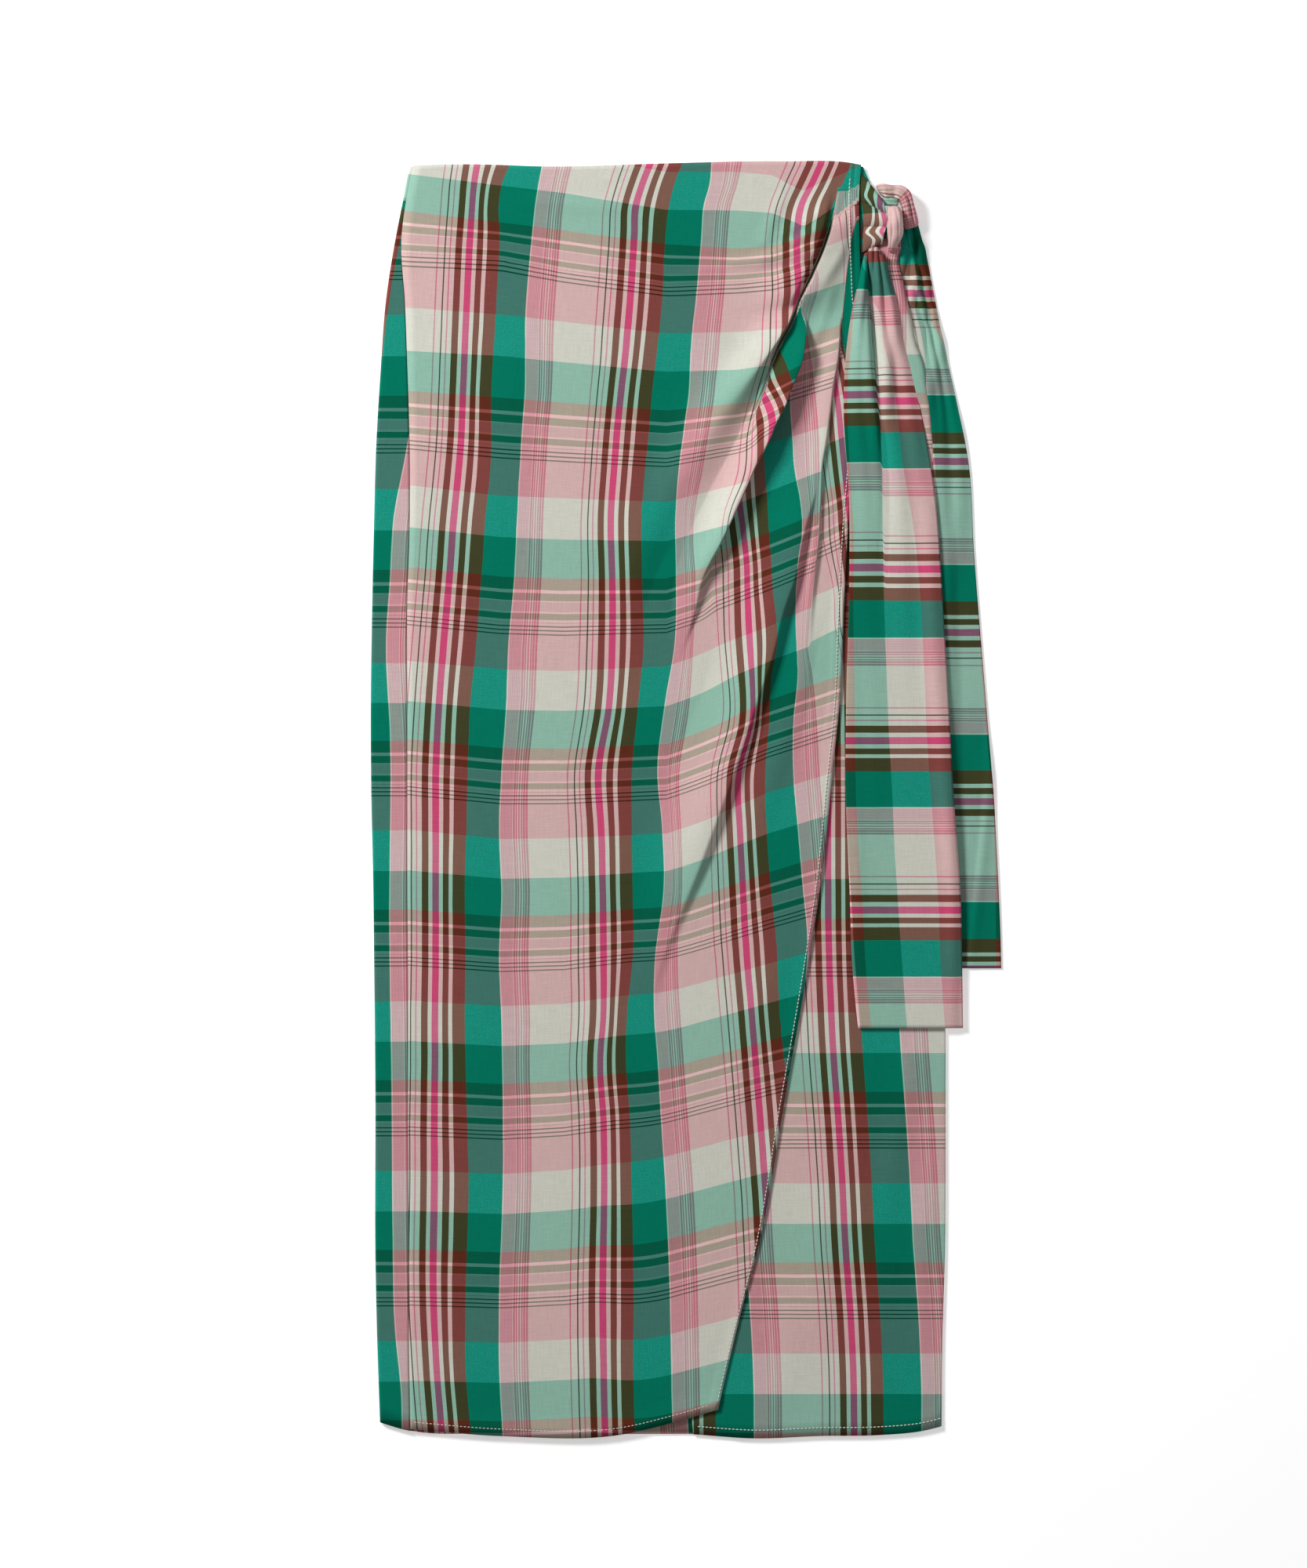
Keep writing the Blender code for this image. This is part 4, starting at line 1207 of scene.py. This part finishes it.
def screen(colour):
    """8-bit screen colour to linear light."""
    part = np.array(colour) / 255
    return np.where(part <= 0.04045, part / 12.92, ((part + 0.055) / 1.055) ** 2.4)


def cell_colour(warp, weft):
    """Light of a warp yarn over a weft yarn, as charted, moved as the two settings are.

    The roots of the light add: charted cell + (warp - charted warp) + (weft - charted weft).
    """
    colours = bpy.context.scene.wrap_skirt_colours
    root = np.sqrt(screen(CELLS[warp][WEFT_YARNS.index(weft)]))
    root += np.sqrt(getattr(colours, warp)) - np.sqrt(screen(CELLS[warp][0]))
    if weft != "cream":
        on_cream = CELLS["cream"][WEFT_YARNS.index(weft)]
        root += np.sqrt(getattr(colours, weft + "_weft")) - np.sqrt(screen(on_cream))
    return tuple(np.maximum(root, 0.0) ** 2)


def checked_cotton(name):
    """Yarn-dyed plain weave: one ramp of warp stripes for each yarn of the weft."""
    finish = Finish(name, 0.90)
    place_in_cloth = finish.node("UVMap", {"uv_map": "cloth"})
    warp = finish.node("SeparateXYZ", None, {0: place_in_cloth})
    weft = Link(finish.tree, warp.socket.node.outputs[1])
    wobble = (finish.noise(place_in_cloth, (4.8, 4.8, 0.0), 2.0) - 0.5) * WOBBLE
    warp_at = (warp + wobble + 20.0).fraction()
    weft_at = (weft + wobble + 20.0).fraction()
    bands = finish.node("ValToRGB", {"stops": [
        (at, [float(yarn == kind) for kind in WEFT_YARNS[1:]])
        for at, yarn, _ in WEFT_BANDS]}, {0: weft_at})
    shades = finish.node("ValToRGB", {"stops": [(at, (light, light, light))
                                                for at, _, light in WEFT_BANDS]},
                         {0: weft_at})
    is_yarn = finish.node("SeparateXYZ", None, {0: bands}).socket.node.outputs
    cloth = None
    for i, kind in enumerate(WEFT_YARNS):
        stripes = finish.node("ValToRGB", {"stops": [
            (at, cell_colour(yarn, kind)) for at, yarn in WARP_STRIPES]}, {0: warp_at})
        if cloth is None:
            cloth = stripes
        else:
            cloth = finish.node("Mix", {"data_type": "RGBA"}, {
                0: Link(finish.tree, is_yarn[i - 1]), 6: cloth, 7: stripes}, 2)
    # Slubs: streaks of uneven yarn along the warp and along the weft
    warp_slub = finish.noise(place_in_cloth, (190.0, 9.0, 1.0), 2.0)
    weft_slub = finish.noise(place_in_cloth, (9.0, 190.0, 1.0), 2.0)
    heather = finish.noise(place_in_cloth, (210.0, 210.0, 210.0), 1.0)
    uneven = (1.0 + (warp_slub - 0.5) * SLUB + (weft_slub - 0.5) * SLUB
              + (heather - 0.5) * HEATHER)
    # Cream weft glints through the green warp
    fleck = finish.noise(place_in_cloth, (120.0, 260.0, 1.0), 1.0)
    glints = (fleck > 0.60) * (warp_at < GREEN_END) * (weft_at < CREAM_END) * GLINT
    cloth = finish.node("Mix", {"data_type": "RGBA"}, {
        0: glints, 6: cloth, 7: (*screen(CELLS["cream"][1]), 1.0)}, 2)
    # Close pale lines where the rose stripe starts
    lines = (warp_at * (2 * math.pi / PALE_LINES)).sine() * 0.09
    uneven = uneven + lines * (warp_at > 0.2290) * (warp_at < 0.3080)
    shade = finish.node("CombineXYZ", None, {0: uneven, 1: uneven, 2: uneven})
    light = finish.vector("MULTIPLY", finish.vector("MULTIPLY", cloth, shades), shade)
    finish.put("Base Color", light)
    # Weave: warp and weft threads, each a row of soft ridges
    threads = THREADS * 2 * math.pi
    weave = (warp * threads).sine() * (weft * threads).sine()
    ridges = weave * 0.5 + (warp_slub + weft_slub) * 0.8
    bump = finish.node("Bump", None, {"Height": ridges, "Strength": 0.12, "Distance": 0.0004})
    finish.put("Normal", bump)
    return finish.material


def thread_finish():
    """Sewing thread: pale, with a fine twist."""
    finish = Finish("sewing_thread", 0.7)
    colours = bpy.context.scene.wrap_skirt_colours
    place_of = finish.node("TexCoord", None, None, 3)
    twist = finish.noise(place_of, (900.0, 900.0, 900.0), 1.0)
    dark = tuple(0.8 * part for part in colours.thread)
    finish.put("Base Color", finish.node("Mix", {"data_type": "RGBA"}, {
        0: twist, 6: (*dark, 1.0), 7: (*colours.thread, 1.0)}, 2))
    return finish.material


def floor_finish():
    """Plain pale paper of the studio floor."""
    finish = Finish("studio_paper", 0.95)
    place_of = finish.node("TexCoord", None, None, 3)
    mottle = finish.noise(place_of, (3.0, 3.0, 3.0), 2.0)
    finish.put("Base Color", finish.node("Mix", {"data_type": "RGBA"}, {
        0: mottle, 6: (0.94, 0.94, 0.94, 1.0), 7: (0.96, 0.96, 0.96, 1.0)}, 2))
    finish.put("Emission Color", (1.0, 1.0, 1.0, 1.0))
    finish.put("Emission Strength", PAPER_GLOW)
    return finish.material


def cotton():
    """The one checked cotton that every piece is cut from."""
    return bpy.data.materials.get("checked_cotton") or checked_cotton("checked_cotton")


# ---- settings ----

def colour_settings():
    """One colour property for each yarn."""
    charted = {yarn: (yarn.replace("_", " ").capitalize(), "warp yarn on cream weft",
                      cells[0]) for yarn, cells in CELLS.items()}
    for weft, colour in zip(WEFT_YARNS[1:], CELLS["cream"][1:]):
        charted[weft + "_weft"] = (weft.capitalize() + " weft", "cream warp on this weft",
                                   colour)
    charted["thread"] = ("Thread", "sewing thread", THREAD)
    return {key: bpy.props.FloatVectorProperty(
        name=label, description="Colour of the " + words, default=tuple(screen(colour)),
        min=0.0, max=1.0, size=3, subtype="COLOR")
        for key, (label, words, colour) in charted.items()}


class WrapSkirtColours(bpy.types.PropertyGroup):
    """Colours of the yarns, as they look on the cloth."""
    __annotations__ = colour_settings()


class WrapSkirtSizes(bpy.types.PropertyGroup):
    """Sizes of the stitches and of the stage."""
    stitch_pitch: bpy.props.FloatProperty(
        name="Stitch pitch", description="From one stitch to the next", default=0.0027,
        min=0.001, unit="LENGTH")
    stitch_length: bpy.props.FloatProperty(
        name="Stitch length", description="Length of one stitch", default=0.0019,
        min=0.0005, unit="LENGTH")
    thread_radius: bpy.props.FloatProperty(
        name="Thread radius", description="Half the thickness of the thread",
        default=0.00038, min=0.0001, unit="LENGTH")
    camera_height: bpy.props.FloatProperty(
        name="Camera height", description="Height of the camera over the skirt",
        default=4.0, min=1.0, unit="LENGTH")
    view_height: bpy.props.FloatProperty(
        name="View height", description="Height of the picture on the skirt's level",
        default=1.109, min=0.1, unit="LENGTH")


# ---- operators ----

class WRAPSKIRT_OT_back(bpy.types.Operator):
    """Make the back panel with its flap at the left side"""
    bl_idname = "wrap_skirt.back"
    bl_label = "Back panel"

    def execute(self, context):
        cut_sheet("back_cotton", back_points(), "back_panel", "back_cloth", -1,
                  flat=(0.41, 0.90), held="laid")
        return {"FINISHED"}


class WRAPSKIRT_OT_under(bpy.types.Operator):
    """Make the under front, which wraps round the right side"""
    bl_idname = "wrap_skirt.under"
    bl_label = "Under front"

    def execute(self, context):
        cut_sheet("under_front_cotton", under_points(), "under_front", "under_cloth", -1,
                  flat=(0.25, 0.90), held="laid", rests_on=["back_cotton"])
        return {"FINISHED"}


class WRAPSKIRT_OT_over(bpy.types.Operator):
    """Make the over front with its folds"""
    bl_idname = "wrap_skirt.over"
    bl_label = "Over front"

    def execute(self, context):
        cut_sheet("over_front_cotton", over_points(), "over_front", "front_cloth", -1,
                  flat=(0.34, 0.91), held="folded",
                  rests_on=["back_cotton", "under_front_cotton"])
        return {"FINISHED"}


class WRAPSKIRT_OT_ties(bpy.types.Operator):
    """Make the pleated base of the tie and the two tails"""
    bl_idname = "wrap_skirt.ties"
    bl_label = "Ties"

    def execute(self, context):
        cut_sheet("tie_base_cotton", base_points(), "tie_base", "tie_cloth", 1,
                  flat=(0.075, 0.017), held="gathered", rests_on=["over_front_cotton"])
        cut_sheet("back_tail_cotton", back_tail_points(), "tail_back", "tie_cloth", 1,
                  flat=(0.060, 0.52), held="gathered", rests_on=["under_front_cotton"])
        cut_sheet("front_tail_cotton", front_tail_points(), "tail_front", "tie_cloth", 1,
                  flat=(0.070, 0.55), held="gathered",
                  rests_on=["over_front_cotton", "back_tail_cotton"])
        cut_sheet("tail_side_cotton", strip_points(), "tail_front", "tie_cloth", 1,
                  flat=(0.016, 0.25), held="folded", rests_on=["back_tail_cotton"])
        return {"FINISHED"}


class WRAPSKIRT_OT_knot(bpy.types.Operator):
    """Make the three stretches of the knot"""
    bl_idname = "wrap_skirt.knot"
    bl_label = "Knot"

    def execute(self, context):
        for node, flat, *band in KNOT_BANDS:
            cut_sheet(node + "_cotton", roll_points(*band), node, "tie_cloth", -1,
                      flat=flat, held="gathered")
        return {"FINISHED"}


def surface_path(x, y, lift):
    """Path on top of the over front, lifted by a little."""
    z = over_height(x, y) + WALL + lift
    return np.stack((x, y, z), axis=1)


class WRAPSKIRT_OT_stitches(bpy.types.Operator):
    """Sew the free edge and the hems"""
    bl_idname = "wrap_skirt.stitches"
    bl_label = "Stitches"

    def execute(self, context):
        sizes = context.scene.wrap_skirt_sizes
        y = np.linspace(-0.4255, 0.4400, 700)
        x = edge("wrap_edge", y) - 0.0038 - 0.0031 * ease((y - 0.33) / 0.03)
        free_edge = surface_path(x, y, 0.0007)
        x = np.linspace(-0.1925, 0.017, 300)
        hem = surface_path(x, along(OVER_HEM, x) + 0.0050, 0.0004)
        x = np.linspace(0.008, 0.1815, 260)
        lower = np.stack((x, along(UNDER_HEM, x) + 0.0058,
                          np.full(x.shape, LEVEL + WALL + 0.0006)), axis=1)
        material = thread_finish()
        for name, path, node, slot in (
                ("free_edge_stitches", free_edge, "over_front", "front_cloth"),
                ("over_hem_stitches", hem, "over_front", "front_cloth"),
                ("under_hem_stitches", lower, "under_front", "under_cloth")):
            points, faces = stitches(path, sizes.stitch_pitch, sizes.stitch_length,
                                     sizes.thread_radius)
            mesh = bpy.data.meshes.new(name)
            mesh.from_pydata(points, [], faces)
            mesh.shade_smooth()
            place(name, mesh, material, (node,), slot)
        return {"FINISHED"}


class WRAPSKIRT_OT_stage(bpy.types.Operator):
    """Lay the floor, hang the lights and set the camera straight above"""
    bl_idname = "wrap_skirt.stage"
    bl_label = "Stage"

    def execute(self, context):
        sizes = context.scene.wrap_skirt_sizes
        x, y = np.meshgrid((-FLOOR_REACH, FLOOR_REACH), (-FLOOR_REACH, FLOOR_REACH))
        floor_mesh = grid_mesh("studio_floor", np.stack((x, y, x * 0 - FLOOR_DROP), axis=2))
        floor_mesh.materials.append(floor_finish())
        floor = bpy.data.objects.new("studio_floor", floor_mesh)
        context.scene.collection.objects.link(floor)
        world = bpy.data.worlds.new("studio")
        world.use_nodes = True
        sky = world.node_tree.nodes["Background"]
        sky.inputs["Color"].default_value = (1.0, 1.0, 1.0, 1.0)
        sky.inputs["Strength"].default_value = SKY_LIGHT
        context.scene.world = world
        for name, (x, y, z), size, power in LIGHTS:
            lamp = bpy.data.lights.new(name, "AREA")
            lamp.size = size
            lamp.energy = power
            light = bpy.data.objects.new(name, lamp)
            light.location = (x, y, z)
            aim = math.atan2(math.hypot(x, y), z)
            light.rotation_euler = (0.0, aim, math.atan2(y, x))
            context.scene.collection.objects.link(light)
        lens = bpy.data.cameras.new("camera")
        lens.sensor_fit = "VERTICAL"
        lens.lens = lens.sensor_height * sizes.camera_height / sizes.view_height
        camera = bpy.data.objects.new("camera", lens)
        camera.location = (*CAMERA_OVER, sizes.camera_height)
        context.scene.collection.objects.link(camera)
        context.scene.camera = camera
        context.scene.view_settings.view_transform = "Standard"
        return {"FINISHED"}


class WRAPSKIRT_PT_sidebar(bpy.types.Panel):
    """Lists the pieces of the skirt and their settings"""
    bl_idname = "WRAPSKIRT_PT_sidebar"
    bl_label = "Wrap skirt"
    bl_space_type = "VIEW_3D"
    bl_region_type = "UI"
    bl_category = "Wrap skirt"

    def draw(self, context):
        for kind in STEPS:
            self.layout.operator(kind.bl_idname)
        for group in (context.scene.wrap_skirt_sizes, context.scene.wrap_skirt_colours):
            for key in group.__annotations__:
                self.layout.prop(group, key)


STEPS = (WRAPSKIRT_OT_stage, WRAPSKIRT_OT_back, WRAPSKIRT_OT_under, WRAPSKIRT_OT_over,
         WRAPSKIRT_OT_ties, WRAPSKIRT_OT_knot, WRAPSKIRT_OT_stitches)
CLASSES = (WrapSkirtColours, WrapSkirtSizes, *STEPS, WRAPSKIRT_PT_sidebar)


def register():
    for kind in CLASSES:
        bpy.utils.register_class(kind)
    bpy.types.Scene.wrap_skirt_colours = bpy.props.PointerProperty(type=WrapSkirtColours)
    bpy.types.Scene.wrap_skirt_sizes = bpy.props.PointerProperty(type=WrapSkirtSizes)


def unregister():
    del bpy.types.Scene.wrap_skirt_sizes
    del bpy.types.Scene.wrap_skirt_colours
    for kind in reversed(CLASSES):
        bpy.utils.unregister_class(kind)


def main():
    register()
    bpy.ops.wrap_skirt.stage()
    bpy.ops.wrap_skirt.back()
    bpy.ops.wrap_skirt.under()
    bpy.ops.wrap_skirt.over()
    bpy.ops.wrap_skirt.ties()
    bpy.ops.wrap_skirt.knot()
    bpy.ops.wrap_skirt.stitches()
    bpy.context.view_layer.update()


if __name__ == "__main__":
    main()
